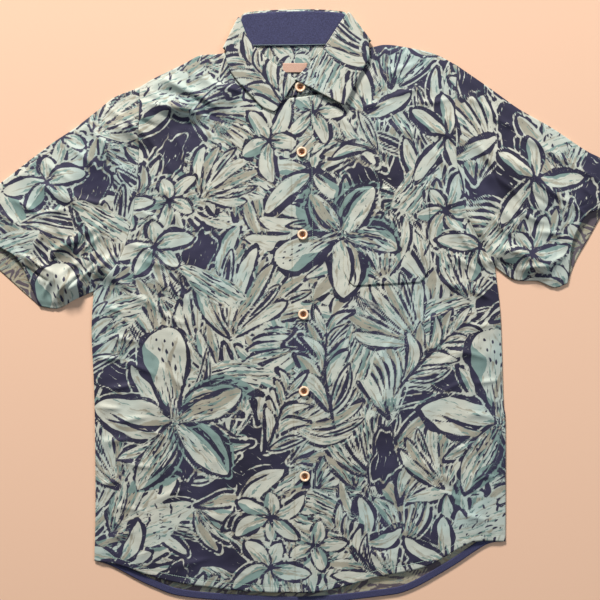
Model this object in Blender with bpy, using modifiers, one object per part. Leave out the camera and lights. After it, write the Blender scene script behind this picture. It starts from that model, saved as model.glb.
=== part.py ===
"""Short-sleeved aloha shirt, buttoned and laid flat on its back.

+X runs to the wearer's left sleeve, +Y to the collar and +Z up from the table. The tables below are in
millimetres on the table plane, and every sheet is a wall between two grids worked out from them: a patch
blended from its four edges, lifted to the height of its layer. The origin is under the middle of the shirt.
"""

import math

import bmesh
import bpy
import numpy as np

MM = 0.001
PRINT, FACING, NAVY = (0.45, 0.53, 0.42), (0.42, 0.42, 0.34), (0.06, 0.06, 0.16)
WOVEN, COCONUT = (0.6, 0.45, 0.4), (0.56, 0.24, 0.08)
CLOTH_ROUGHNESS, COCONUT_ROUGHNESS = 0.8, 0.45

# ---- driving sizes, mm ----
MIDDLE = (-12.0, 0.0)  # the middle of the laid shirt on the plane of the tables
CLOTH = 1.0  # wall of one layer of the shirting
SEAM = 0.3  # gap between two pieces at a seam
LAYER = 2.6  # height of the front's underside over the table, clear of the yoke facing
EDGE_RISE = 10.0  # the upper layer comes down to the lower one over this width at a side
PILLOW = 1.8  # air between the layers in the middle of the garment
PILLOW_REACH = 60.0  # how far in from a side the pillow is full
FOLD_REACH = 16.0  # how far in from a side a fold has its full height
STAND_WALL = 1.2
INNER_STAND_WALL = 0.8
INNER_STAND_Z = 3.1
INNER_STAND_DROP = 2.0  # its top edge is this far below the roll
LEAF_WALL = 1.2
TAPE_WALL = 0.8
TAPE_WIDTH = 10.0
POCKET_SIZE = (120.0, 136.0)
POCKET_CORNER = (63.0, 164.0)  # its top corner towards the buttons
POCKET_SLOPE = 0.055  # rise of its mouth towards the side
POCKET_OUTLINE = ((0, 0.84), (0.06, 0.95), (0.12, 1), (0.37, 1), (0.63, 1), (0.88, 1), (0.94, 0.95), (1, 0.84))
POCKET_ROWS = 7
LABEL_SIZE = (34.0, 13.0, 0.6)
LABEL_CENTRE = (-5.0, 334.0)
OVERLAP = 29.0  # how far the left front laps over the right one
OVERLAP_RISE = 1.7  # how far the lapping front is lifted over the one below it
OVERLAP_LEVEL = 3.0  # it stays lifted this far past the other front's edge
OVERLAP_EASE = 26.0  # the lapping front comes down over this width
BUTTON_RADIUS = 7.2
BUTTON_HEIGHT = 3.2
BUTTON_HOLE = 1.1  # radius
BUTTON_HOLE_OFFSET = 1.9
BUTTON_STEPS = 24
BUTTON_LINE = 14.0  # from the lapping edge to the button centres
BUTTON_LEVELS = (215.5, 100.5, -10.5, -117.5, -236.0)  # heights of the five front buttons
TOP_BUTTON = (2.5, 306.0)
NECK_Y = 291.0  # the neck edge at the middle of the front
HEM_Y = -399.0  # the front hem there
ARMHOLE_POINTS = 11  # every piece at an armhole shares these points
SLEEVE_POINTS = 12  # from the armhole to the sleeve's hem
ROWS, COLUMNS = 27, 13  # of a front
BACK_COLUMNS = 15
TAPE_POINTS = 25
OUTLINE_POINTS = 14  # of each side when distances from it are measured
PLACKET_LEAN = 0.0092  # the button edge leans this much over the length of the shirt
PLACKET_EDGE = -7.4  # the lapping edge at Y = 0

# ---- outlines on the table; each row is (x, y) ----
RIGHT_SIDE = {
    "shoulder": ((-92, 357), (-113, 353), (-138, 351), (-161, 339), (-202, 319), (-222, 307)),
    "sleeve_top": ((-222, 307), (-257, 293), (-279, 276), (-311, 251), (-341, 231), (-373, 207),
                   (-418, 172), (-482, 124)),
    "armhole": ((-222, 307), (-222, 262), (-223, 200), (-229, 140), (-240, 92), (-256, 56), (-286, 22)),
    "sleeve_under": ((-286, 22), (-313, 10), (-336, -2), (-362, 1)),
    "hem_upper": ((-482, 124), (-418, 84), (-394, 69), (-377, 38), (-362, 1)),
    "hem_lower": ((-482, 124), (-450, 78), (-418, 51), (-387, 23), (-362, 1)),
    "side": ((-286, 22), (-289, -35), (-285, -130), (-283.5, -270), (-285, -355)),
}
LEFT_SIDE = {
    "shoulder": ((90, 362), (104, 363), (120, 366), (142, 364), (188, 354), (222, 337)),
    "sleeve_top": ((222, 337), (267, 306), (303, 280), (321, 269), (356, 249), (401, 219), (422, 208),
                   (458, 184)),
    "armhole": ((222, 337), (219, 290), (220, 221), (223, 190), (232, 138), (250, 98), (274, 57)),
    "sleeve_under": ((274, 57), (302, 38), (334, 36), (358, 27), (376, 33)),
    "hem_upper": ((458, 184), (422, 139), (403, 129), (383, 92), (376, 33)),
    "hem_lower": ((458, 184), (422, 125), (404, 93), (388, 65), (376, 33)),
    "side": ((274, 57), (282, -13), (286, -130), (289, -165), (289, -328)),
}
RIGHT_NECK = ((-92, 357), (-84, 330), (-62, 304), (-34, 293), (-8, 291))
LEFT_NECK = ((90, 362), (85, 336), (66, 312), (36, 298), (-8, 291))
BACK_NECK = ((-92, 357), (-75, 365), (0, 366), (66, 367), (90, 362))
FRONT_HEM = ((-285, -355), (-248, -361), (-191, -380), (-134, -390), (-68, -397), (-4, -399), (47, -394),
             (114, -376), (176, -363), (229, -334), (251, -327), (289, -328))
BACK_HEM = ((-285, -355), (-260, -363), (-205, -391), (-148, -407), (0, -415), (114, -405), (158, -395),
            (214, -364), (262, -333), (289, -328))
YOKE_SEAM = (262.0, 290.0)  # heights of the yoke seam at the right and the left armhole
FACING_SKIP = 2  # shoulder points that the facing stops short of
FACING_MARGIN = 26.0  # from the facing to the shoulder, full at FACING_FULL + FACING_EASE from the middle
FACING_FULL, FACING_EASE = 55.0, 35.0

# ---- largest folds of the upper layer; each row is a ridge from one point to another ----
# from x, from y, to x, to y, half width, height
FOLDS = (
    (-100, 296, -222, 262, 15, 4.5),  # out from the right collar point to the armhole
    (-240, 250, -330, 168, 22, 3.5),  # along the top of the right sleeve
    (-320, 30, -345, 44, 15, 9.0),  # puff in the crook of the right sleeve
    (-262, 46, -286, 60, 13, 8.0),  # puff at the right underarm
    (-300, 110, -372, 96, 24, 3.5),  # across the right sleeve
    (-205, 190, -150, 60, 30, 2.5),  # slack down the right chest
    (-240, -10, -205, -150, 26, 2.5),  # slack at the right waist
    (-190, -210, -120, -330, 32, 2.0),  # slack over the right hem
    (232, 250, 330, 150, 24, 3.5),  # along the left sleeve
    (286, 76, 340, 62, 15, 7.0),  # puff in the crook of the left sleeve
    (300, 190, 380, 140, 24, 3.0),  # across the left sleeve
    (240, 20, 262, -60, 20, 2.5),  # slack at the left waist
    (210, -180, 240, -290, 28, 2.0),  # slack over the left hem
)

# ---- collar stations, from the right end round the back to the left end ----
# The seam is the stand's sewn edge, the roll its top and the tip the leaf's free edge; each z is a middle.
# kind, seam x, seam y, roll x, roll y, tip x, tip y, stand z, leaf z
COLLAR = (
    ("front", -4.5, 293, -3.5, 314, -33, 271.5, 4.8, 7.6),
    ("front", -22, 295, -22, 328, -49.7, 278.4, 4.8, 7.8),
    ("front", -44, 301, -45, 346, -66.5, 295.2, 4.8, 7.9),
    ("front", -64, 313, -59, 358, -87.5, 317.6, 4.8, 7.9),
    ("front", -80, 334, -70, 370, -99, 338.6, 4.8, 7.7),
    ("fold", -90, 362, -86, 401, -105.5, 361, 3.5, 4.2),
    ("back", -72, 368, -70, 411, -84, 369, 2.2, 0.7),
    ("back", 0, 368.5, 0, 415, 0, 368.5, 2.2, 0.7),
    ("back", 62, 369.5, 56, 413, 80, 372, 2.2, 0.7),
    ("fold", 88, 371, 73, 409, 101.5, 371, 3.5, 4.4),
    ("front", 84, 348, 57, 391, 98, 347, 4.8, 8.4),
    ("front", 66, 318, 41, 366, 90, 332, 5.6, 9.0),
    ("front", 44, 305, 25, 347, 81.5, 315, 6.6, 9.4),
    ("front", 20, 299, 10, 330, 73, 297.5, 6.9, 10.2),
    ("front", -8, 294, -3, 315, 64, 280, 7.0, 11.9),
)
SEAM_XY, ROLL_XY, TIP_XY, STAND_Z, LEAF_Z = slice(1, 3), slice(3, 5), slice(5, 7), 7, 8
STAND_TURN = 1.3  # radius of the stand's turn at a side of the neck, on its middle
LEAF_TURN = 3.5
TURN_LEAN = 0.3  # a turn reaches this much further down the shirt for each step outward
STAND_INSIDE = 3.0  # how far the stand's turn is inside the leaf's
UNDERLAP = 16.0  # how far the stand's right end runs on under the left one


# ---- curves and patches ----
def smooth(points, count):
    """A Catmull-Rom curve through the points, read at even steps of its length."""
    p = np.array(points, float)
    p = np.vstack([2 * p[0] - p[1], p, 2 * p[-1] - p[-2]])
    t = np.linspace(0, 1, 17)[:-1, None]
    spans = []
    for a, b, c, d in zip(p, p[1:], p[2:], p[3:]):
        spans.append(b + 0.5 * t * (c - a + t * (2 * a - 5 * b + 4 * c - d + t * (3 * (b - c) + d - a))))
    fine = np.vstack(spans + [p[-2][None]])
    return even(fine, count)


def even(points, count):
    """Points at even steps along a chain of points."""
    walked = np.concatenate([[0], np.cumsum(np.linalg.norm(np.diff(points, axis=0), axis=1))])
    steps = np.linspace(0, walked[-1], count)
    return np.stack([np.interp(steps, walked, axis) for axis in points.T], axis=1)


def patch(start, end, first, last):
    """Coons patch: rows run from start to end, and first and last are its side edges."""
    down = np.linspace(0, 1, len(first))[:, None, None]
    across = np.linspace(0, 1, len(start))[None, :, None]
    ruled = (1 - down) * start[None] + down * end[None]
    sides = (1 - across) * first[:, None] + across * last[:, None]
    corners = (1 - down) * ((1 - across) * start[0] + across * start[-1])
    corners = corners + down * ((1 - across) * end[0] + across * end[-1])
    return ruled + sides - corners


def to_segment(points, a, b):
    """Distance of each point from the straight line between a and b."""
    a, b = np.array(a, float), np.array(b, float)
    along = ((points - a) @ (b - a) / max((b - a) @ (b - a), 1e-9)).clip(0, 1)
    return np.linalg.norm(points - a - along[..., None] * (b - a), axis=-1)


def ease(x):
    """From 0 to 1 with soft ends."""
    x = np.clip(x, 0, 1)
    return x * x * (3 - 2 * x)


def inside_by(points):
    """Distance in from the folded sides of the garment; the hems don't count."""
    least = np.full(points.shape[:-1], 1e9)
    for half in (RIGHT_SIDE, LEFT_SIDE):
        for edge in ("shoulder", "sleeve_top", "sleeve_under", "side"):
            chain = smooth(half[edge], OUTLINE_POINTS)
            for a, b in zip(chain, chain[1:]):
                least = np.minimum(least, to_segment(points, a, b))
    return least


def upper(points):
    """Height of the underside of the upper layer, which the fronts and the sleeve tops share."""
    inside = inside_by(points)
    height = CLOTH + SEAM + (LAYER - CLOTH - SEAM) * ease(inside / EDGE_RISE)
    height += PILLOW * ease(inside / PILLOW_REACH)
    for x0, y0, x1, y1, width, rise in FOLDS:
        ridge = np.exp(-((to_segment(points, (x0, y0), (x1, y1)) / width) ** 2))
        height += rise * ridge * ease(inside / FOLD_REACH)
    return height


def placket(y):
    """The lapping front edge at a height on the shirt."""
    return PLACKET_EDGE - PLACKET_LEAN * y


def lap(points):
    """Lift of the lapping front where it lies over the other one."""
    past = points[..., 0] - placket(points[..., 1]) - OVERLAP - OVERLAP_LEVEL
    return OVERLAP_RISE * (1 - ease(past / OVERLAP_EASE))


def inset(grid, first=0.0, last=0.0):
    """The grid with its first and last columns moved in, so that neighbours keep the seam gap."""
    grid = grid.copy()
    for edge, inner, gap in ((0, 1, first), (-1, -2, last)):
        way = grid[:, inner] - grid[:, edge]
        grid[:, edge] += way * gap / np.linalg.norm(way, axis=-1, keepdims=True)
    return grid


def lifted(grid, height):
    """A flat grid given its heights."""
    return np.concatenate([grid, np.broadcast_to(height, grid.shape[:-1])[..., None]], axis=-1)


# ---- solids ----
def finish(name, collection, mesh, colour, roughness):
    """A named object with its own material, shaded smooth except on sharp edges."""
    material = bpy.data.materials.new(name)
    material.use_nodes = True
    shader = material.node_tree.nodes["Principled BSDF"]
    shader.inputs["Base Color"].default_value = (*colour, 1)
    shader.inputs["Roughness"].default_value = roughness
    shader.inputs["Metallic"].default_value = 0.0
    mesh.materials.append(material)
    piece = bpy.data.objects.new(name, mesh)
    collection.objects.link(piece)
    return piece


def wall(name, collection, under, over, colour, wraps=False):
    """A closed wall between two grids of points, open in the middle where it wraps round."""
    rows, columns = under.shape[:2]
    points = np.concatenate([under.reshape(-1, 3), over.reshape(-1, 3)])
    points = (points - (*MIDDLE, 0)) * MM
    index = np.arange(rows * columns).reshape(rows, columns)
    if wraps:
        index = np.concatenate([index, index[:, :1]], axis=1)
    quads = np.stack([index[:-1, :-1], index[:-1, 1:], index[1:, 1:], index[1:, :-1]], axis=-1)
    quads = quads.reshape(-1, 4)
    faces = [quads[:, ::-1], quads + rows * columns]
    rims = [index[0], index[-1, ::-1]]
    if not wraps:
        rims += [index[:, -1], index[::-1, 0]]
    for rim in rims:
        faces.append(np.stack([rim[:-1], rim[1:], rim[1:] + rows * columns, rim[:-1] + rows * columns], 1))
    mesh = bpy.data.meshes.new(name)
    mesh.from_pydata(points.tolist(), [], np.concatenate(faces).tolist())
    form = bmesh.new()
    form.from_mesh(mesh)
    bmesh.ops.recalc_face_normals(form, faces=form.faces)
    form.to_mesh(mesh)
    form.free()
    mesh.shade_smooth()
    mesh.set_sharp_from_angle(angle=math.radians(50))
    return finish(name, collection, mesh, colour, CLOTH_ROUGHNESS)


def sheet(name, collection, grid, under, thick, colour):
    """A sheet of the given thickness whose underside follows a height."""
    return wall(name, collection, lifted(grid, under), lifted(grid, under + thick), colour)


def turned(x, y, z, turn, inner):
    """Points round a half circle at a side of the neck, from the upper layer down to the lower one."""
    outward = math.copysign(1, x)
    for angle in np.radians((90, 45, 0, -45, -90)):
        reach = turn * (math.cos(angle) - 1) - inner
        yield (x + outward * reach, y + TURN_LEAN * reach, z + turn * math.sin(angle))


def band(low, high, height, turn, inner, rows):
    """A grid along the collar between two of its edges, with a half circle at each side of the neck."""
    edges = []
    for column in (low, high):
        edge = []
        for station in COLLAR:
            point = (*station[column], station[height])
            if station[0] != "fold":
                edge.append(point)
                continue
            ring = list(turned(*point, turn, inner))
            edge += ring if point[0] < 0 else ring[::-1]
        edges.append(np.array(edge))
    blend = np.linspace(0, 1, rows)[:, None, None]
    return (1 - blend) * edges[0][None] + blend * edges[1][None]


def thickened(name, collection, grid, thick, colour):
    """A shell from an open grid, with a Solidify modifier centred on it."""
    rows, columns = grid.shape[:2]
    index = np.arange(rows * columns).reshape(rows, columns)
    quads = np.stack([index[:-1, :-1], index[1:, :-1], index[1:, 1:], index[:-1, 1:]], axis=-1)
    mesh = bpy.data.meshes.new(name)
    points = (grid.reshape(-1, 3) - (*MIDDLE, 0)) * MM
    mesh.from_pydata(points.tolist(), [], quads.reshape(-1, 4).tolist())
    mesh.shade_smooth()
    piece = finish(name, collection, mesh, colour, CLOTH_ROUGHNESS)
    shell = piece.modifiers.new("cloth", "SOLIDIFY")
    shell.thickness = thick * MM
    shell.offset = 0.0
    return piece


# ---- pieces ----
def side_of(half, count):
    """The armhole and the side seam as one edge, from the shoulder to the hem."""
    armhole = smooth(half["armhole"], ARMHOLE_POINTS)
    return np.vstack([armhole, smooth(half["side"], count - ARMHOLE_POINTS + 1)[1:]])


def cut_at(chain, level):
    """The chain down to a level and from that level on, both with the point on it."""
    after = int(np.argmax(chain[:, 1] < level))
    share = (chain[after - 1, 1] - level) / (chain[after - 1, 1] - chain[after, 1])
    point = chain[after - 1] + share * (chain[after] - chain[after - 1])
    return np.vstack([chain[:after], point]), np.vstack([point, chain[after:]])


def beside(side, top, bottom, offset=0.0):
    """The button edge at the same shares of its height as the rows of a side."""
    share = (side[0, 1] - side[:, 1]) / (side[0, 1] - side[-1, 1])
    level = top + (bottom - top) * share
    return np.stack([placket(level) + offset, level], axis=1)


def back_panel(collection):
    """The flat panel that the whole shirt rests on, below the yoke seam."""
    right = cut_at(side_of(RIGHT_SIDE, ROWS), YOKE_SEAM[0] - SEAM)[1]
    left = cut_at(side_of(LEFT_SIDE, ROWS), YOKE_SEAM[1] - SEAM)[1]
    start = even(np.array([right[0], left[0]]), BACK_COLUMNS)
    grid = patch(start, smooth(BACK_HEM, BACK_COLUMNS), right, left)
    return sheet("back_panel", collection, inset(grid, SEAM, SEAM), 0.0, CLOTH, PRINT)


def yoke_top():
    """The right shoulder, the back of the neck and the left shoulder, as one edge."""
    return np.vstack([smooth(RIGHT_SIDE["shoulder"], 8)[::-1], smooth(BACK_NECK, 9)[1:-1],
                      smooth(LEFT_SIDE["shoulder"], 8)])


def yoke(collection):
    """The outer yoke on the table, from its seam up to the shoulders and the neck."""
    top = yoke_top()
    right = cut_at(side_of(RIGHT_SIDE, ROWS), YOKE_SEAM[0])[0]
    left = cut_at(side_of(LEFT_SIDE, ROWS), YOKE_SEAM[1])[0]
    base = even(np.array([right[-1], left[-1]]), len(top))
    grid = inset(patch(top, base, right, left), SEAM, SEAM)
    return sheet("yoke", collection, grid, 0.0, CLOTH, PRINT)


def yoke_facing(collection):
    """The printed facing over the yoke, up to the neck and clear of the shoulders and armholes."""
    top = yoke_top()[FACING_SKIP:-FACING_SKIP]
    top[:, 1] -= FACING_MARGIN * ease((abs(top[:, 0]) - FACING_FULL) / FACING_EASE)
    level = np.interp(top[:, 0], (RIGHT_SIDE["shoulder"][-1][0], LEFT_SIDE["shoulder"][-1][0]), YOKE_SEAM)
    base = np.stack([top[:, 0], level], axis=1)
    grid = patch(top, base, np.linspace(top[0], base[0], 4), np.linspace(top[-1], base[-1], 4))
    return sheet("yoke_facing", collection, grid, CLOTH + SEAM, CLOTH, FACING)


def right_front(collection):
    """The front whose button edge lies underneath."""
    side = side_of(RIGHT_SIDE, ROWS)
    edge = beside(side, NECK_Y, HEM_Y, OVERLAP)
    neck = [*RIGHT_NECK, tuple(edge[0])]
    top = np.vstack([smooth(RIGHT_SIDE["shoulder"], 6)[::-1], smooth(neck, COLUMNS - 5)[1:]])
    hem = smooth([p for p in FRONT_HEM if p[0] < 0] + [tuple(edge[-1])], COLUMNS)
    grid = inset(patch(top, hem, side, edge), SEAM, 0)
    return sheet("front_right", collection, grid, upper(grid), CLOTH, PRINT)


def left_front(collection):
    """The front that laps over, with the buttons down its edge."""
    side = side_of(LEFT_SIDE, ROWS)
    edge = beside(side, NECK_Y, HEM_Y)
    neck = [tuple(edge[0])] + [p for p in LEFT_NECK[::-1] if p[0] > 0]
    top = np.vstack([smooth(neck, COLUMNS - 5), smooth(LEFT_SIDE["shoulder"], 6)[1:]])
    hem = smooth([tuple(edge[-1])] + [p for p in FRONT_HEM if p[0] > 0], COLUMNS)
    grid = inset(patch(top, hem, edge, side), 0, SEAM)
    return sheet("front_left", collection, grid, upper(grid) + lap(grid), CLOTH, PRINT)


def sleeve(name, collection, half):
    """A flattened tube: an upper and a lower layer joined at the top fold and the underarm."""
    top = smooth(half["sleeve_top"], SLEEVE_POINTS)
    under = smooth(half["sleeve_under"], SLEEVE_POINTS)
    armhole = smooth(half["armhole"], ARMHOLE_POINTS)
    layers = {}
    for layer in ("hem_upper", "hem_lower"):
        flat = patch(armhole, smooth(half[layer], ARMHOLE_POINTS), top, under)
        way = flat[1] - flat[0]
        flat[0] += way * SEAM / np.linalg.norm(way, axis=-1, keepdims=True)
        layers[layer] = flat
    shown, hidden = layers["hem_upper"], layers["hem_lower"]
    inner_shown, inner_hidden = inset(shown, CLOTH, CLOTH), inset(hidden, CLOTH, CLOTH)
    outer = np.concatenate([lifted(hidden, 0.0), lifted(shown, upper(shown) + CLOTH)[:, ::-1]], axis=1)
    inner = np.concatenate([lifted(inner_hidden, CLOTH), lifted(inner_shown, upper(inner_shown))[:, ::-1]],
                           axis=1)
    return wall(name, collection, inner, outer, PRINT, wraps=True)


def pocket(collection):
    """A patch pocket with cut bottom corners, laid on the left front."""
    down = np.linspace(0, 1, POCKET_ROWS)[:, None]
    across, drop = np.array(POCKET_OUTLINE).T
    x = POCKET_CORNER[0] + POCKET_SIZE[0] * across + 0 * down
    y = POCKET_CORNER[1] - POCKET_SIZE[1] * drop * down + POCKET_SLOPE * (x - POCKET_CORNER[0])
    grid = np.stack([x, y], axis=-1)
    return sheet("pocket", collection, grid, upper(grid) + CLOTH + 2 * SEAM, CLOTH, PRINT)


def back_tape(collection):
    """The navy tape along the inside of the back hem."""
    hem = smooth(BACK_HEM, TAPE_POINTS)[1:-1]
    way = np.gradient(hem, axis=0)
    up = np.stack([-way[:, 1], way[:, 0]], axis=1) / np.linalg.norm(way, axis=1, keepdims=True)
    grid = np.stack([hem + up * TAPE_WIDTH, hem + up * SEAM])
    return sheet("back_hem_tape", collection, grid, CLOTH + SEAM, TAPE_WALL, NAVY)


def collar(collection):
    """The leaf, the stand and the navy inner stand."""
    leaf = band(ROLL_XY, TIP_XY, LEAF_Z, LEAF_TURN, 0.0, 5)
    thickened("collar_leaf", collection, leaf, LEAF_WALL, PRINT)
    stand = band(SEAM_XY, ROLL_XY, STAND_Z, STAND_TURN, STAND_INSIDE, 4)
    stand[:, 0, 0] += UNDERLAP
    thickened("collar_stand", collection, stand, STAND_WALL, PRINT)
    columns = [s for s in COLLAR if s[0] == "back"]
    low = np.array([s[SEAM_XY] for s in columns], float)
    high = np.array([s[ROLL_XY] for s in columns], float) - (0, INNER_STAND_DROP)
    blend = np.linspace(0, 1, 4)[:, None, None]
    grid = (1 - blend) * low[None] + blend * high[None]
    sheet("collar_stand_inner", collection, grid, INNER_STAND_Z, INNER_STAND_WALL, NAVY)


def label(collection):
    """A plain woven label on the yoke facing."""
    bpy.ops.mesh.primitive_cube_add(size=1)
    piece = bpy.context.object
    mesh = piece.data
    for vertex in mesh.vertices:
        for axis in range(3):
            vertex.co[axis] *= LABEL_SIZE[axis] * MM
    bpy.data.objects.remove(piece)
    piece = finish("neck_label", collection, mesh, WOVEN, CLOTH_ROUGHNESS)
    x, y = LABEL_CENTRE
    z = 2 * CLOTH + 2 * SEAM + LABEL_SIZE[2] / 2
    piece.location = ((x - MIDDLE[0]) * MM, (y - MIDDLE[1]) * MM, z * MM)


def button_mesh():
    """A turned disc with a raised rim and four holes."""
    r, h = BUTTON_RADIUS * MM, BUTTON_HEIGHT * MM
    profile = ((0, 0.62 * h), (0.55 * r, 0.66 * h), (0.72 * r, 0.98 * h), (0.86 * r, h), (r, 0.7 * h),
               (r, 0.3 * h), (0.8 * r, 0), (0, 0))
    line = bpy.data.meshes.new("button profile")
    line.from_pydata([(x, 0, z) for x, z in profile], [(i, i + 1) for i in range(len(profile) - 1)], [])
    blank = bpy.data.objects.new("button blank", line)
    bpy.context.scene.collection.objects.link(blank)
    screw = blank.modifiers.new("turned", "SCREW")
    screw.steps = screw.render_steps = BUTTON_STEPS
    screw.use_merge_vertices = True
    screw.merge_threshold = 0.00001
    cutters = []
    for quarter in range(4):
        angle = math.radians(45 + 90 * quarter)
        bpy.ops.mesh.primitive_cylinder_add(vertices=8, radius=BUTTON_HOLE * MM, depth=4 * h)
        cutter = bpy.context.object
        cutter.location = (
            BUTTON_HOLE_OFFSET * MM * math.cos(angle), BUTTON_HOLE_OFFSET * MM * math.sin(angle), 0)
        cut = blank.modifiers.new(f"hole {quarter}", "BOOLEAN")
        cut.object = cutter
        cut.operation = "DIFFERENCE"
        cutters.append(cutter)
    bpy.context.view_layer.update()
    graph = bpy.context.evaluated_depsgraph_get()
    mesh = bpy.data.meshes.new_from_object(blank.evaluated_get(graph))
    for helper in [*cutters, blank]:
        bpy.data.objects.remove(helper)
    mesh.shade_smooth()
    mesh.set_sharp_from_angle(angle=math.radians(35))
    return mesh


def buttons(collection):
    """Six buttons: one on the stand and five down the lapping front."""
    places = [(*TOP_BUTTON, COLLAR[-1][STAND_Z] + STAND_WALL / 2 + SEAM)]
    for y in BUTTON_LEVELS:
        spot = np.array([placket(y) + BUTTON_LINE, y])
        places.append((*spot, float(upper(spot) + lap(spot)) + CLOTH + 2 * SEAM))
    shape = button_mesh()
    for number, (x, y, z) in enumerate(places, 1):
        piece = finish(f"button_{number}", collection, shape.copy(), COCONUT, COCONUT_ROUGHNESS)
        piece.location = ((x - MIDDLE[0]) * MM, (y - MIDDLE[1]) * MM, z * MM)


def main():
    for old in list(bpy.data.objects):
        bpy.data.objects.remove(old)
    shirt = bpy.data.collections.new("aloha_shirt")
    bpy.context.scene.collection.children.link(shirt)
    back_panel(shirt)
    yoke(shirt)
    yoke_facing(shirt)
    right_front(shirt)
    left_front(shirt)
    sleeve("sleeve_right", shirt, RIGHT_SIDE)
    sleeve("sleeve_left", shirt, LEFT_SIDE)
    pocket(shirt)
    back_tape(shirt)
    collar(shirt)
    label(shirt)
    buttons(shirt)


main()
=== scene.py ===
"""Short-sleeved aloha shirt, buttoned and laid flat on its back, seen from straight above.

Every table below is in millimetres on the table plane, with +X to the wearer's left sleeve and +Y to the
collar. The cloth is a thin shell on the form of the part, on finer grids, with its creases listed one by one.
The print is a repeat composed of lenses, strokes and blobs in the same millimetres, as three screens of ink.
"""

import math

import bpy
import numpy as np
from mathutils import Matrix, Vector


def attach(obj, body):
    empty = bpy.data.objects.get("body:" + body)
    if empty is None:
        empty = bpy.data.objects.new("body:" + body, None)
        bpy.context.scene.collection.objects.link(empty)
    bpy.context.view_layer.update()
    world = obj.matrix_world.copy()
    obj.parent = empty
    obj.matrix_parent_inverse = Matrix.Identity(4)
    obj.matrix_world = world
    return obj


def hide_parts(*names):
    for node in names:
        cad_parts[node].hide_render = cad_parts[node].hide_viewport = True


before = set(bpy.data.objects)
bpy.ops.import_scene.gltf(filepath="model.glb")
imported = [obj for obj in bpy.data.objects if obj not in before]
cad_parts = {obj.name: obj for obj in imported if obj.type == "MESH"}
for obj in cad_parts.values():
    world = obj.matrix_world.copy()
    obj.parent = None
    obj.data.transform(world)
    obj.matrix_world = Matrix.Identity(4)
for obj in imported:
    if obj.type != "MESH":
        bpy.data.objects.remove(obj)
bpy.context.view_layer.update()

MM = 0.001
MIDDLE = (-12.0, 0.0)  # the middle of the laid shirt on the plane of the tables

# ---- sizes, mm ----
CLOTH = 1.0
SEAM = 0.3
LAYER = 2.6
EDGE_RISE = 10.0
PILLOW = 1.8
PILLOW_REACH = 60.0
FOLD_REACH = 16.0
SHELL = 0.7  # drawn thickness of one layer
TROUGH_FLOOR = 1.2  # no trough goes below this height over the seam gap, so that it clears the facing
OVERLAP = 29.0
OVERLAP_RISE = 1.7
OVERLAP_EASE = 26.0
BUTTON_RADIUS = 7.2
BUTTON_HEIGHT = 3.2
BUTTON_LINE = 14.0
BUTTON_LEVELS = (215.5, 100.5, -10.5, -117.5, -236.0)
TOP_BUTTON = (2.5, 306.0, 7.9)
NECK_Y = 291.0
HEM_Y = -399.0
PLACKET_LEAN = 0.0092
PLACKET_EDGE = -7.4
YOKE_SEAM = (262.0, 290.0)

# ---- outlines on the table; each row is (x, y) ----
RIGHT_SIDE = {
    "shoulder": ((-92, 357), (-113, 353), (-138, 351), (-161, 339), (-202, 319), (-222, 307)),
    "sleeve_top": ((-222, 307), (-257, 293), (-279, 276), (-311, 251), (-341, 231), (-373, 207),
                   (-418, 172), (-482, 124)),
    "armhole": ((-222, 307), (-222, 262), (-223, 200), (-229, 140), (-240, 92), (-256, 56), (-286, 22)),
    "sleeve_under": ((-286, 22), (-313, 10), (-336, -2), (-362, 1)),
    "hem_upper": ((-482, 124), (-418, 84), (-394, 69), (-377, 38), (-362, 1)),
    "hem_lower": ((-482, 124), (-450, 78), (-418, 51), (-387, 23), (-362, 1)),
    "side": ((-286, 22), (-289, -35), (-285, -130), (-283.5, -270), (-285, -355)),
}
LEFT_SIDE = {
    "shoulder": ((90, 362), (104, 363), (120, 366), (142, 364), (188, 354), (222, 337)),
    "sleeve_top": ((222, 337), (267, 306), (303, 280), (321, 269), (356, 249), (401, 219), (422, 208),
                   (458, 184)),
    "armhole": ((222, 337), (219, 290), (220, 221), (223, 190), (232, 138), (250, 98), (274, 57)),
    "sleeve_under": ((274, 57), (302, 38), (334, 36), (358, 27), (376, 33)),
    "hem_upper": ((458, 184), (422, 139), (403, 129), (383, 92), (376, 33)),
    "hem_lower": ((458, 184), (422, 125), (404, 93), (388, 65), (376, 33)),
    "side": ((274, 57), (282, -13), (286, -130), (289, -165), (289, -328)),
}
RIGHT_NECK = ((-92, 357), (-84, 330), (-62, 304), (-34, 293), (-8, 291))
LEFT_NECK = ((90, 362), (85, 336), (66, 312), (36, 298), (-8, 291))
BACK_NECK = ((-92, 357), (-75, 365), (0, 366), (66, 367), (90, 362))
FRONT_HEM = ((-285, -355), (-248, -361), (-191, -380), (-134, -390), (-68, -397), (-4, -399), (47, -394),
             (114, -376), (176, -363), (229, -334), (251, -327), (289, -328))
BACK_HEM = ((-285, -355), (-260, -363), (-205, -391), (-148, -407), (0, -415), (114, -405), (158, -395),
            (214, -364), (262, -333), (289, -328))

# from x, from y, to x, to y, half width, height
FOLDS = (
    (-100, 296, -222, 262, 15, 4.5),
    (-240, 250, -330, 168, 22, 3.5),
    (-320, 30, -345, 44, 15, 9.0),
    (-262, 46, -286, 60, 13, 8.0),
    (-300, 110, -372, 96, 24, 3.5),
    (-205, 190, -150, 60, 30, 2.5),
    (-240, -10, -205, -150, 26, 2.5),
    (-190, -210, -120, -330, 32, 2.0),
    (232, 250, 330, 150, 24, 3.5),
    (286, 76, 340, 62, 15, 7.0),
    (300, 190, 380, 140, 24, 3.0),
    (240, 20, 262, -60, 20, 2.5),
    (210, -180, 240, -290, 28, 2.0),
)
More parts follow.
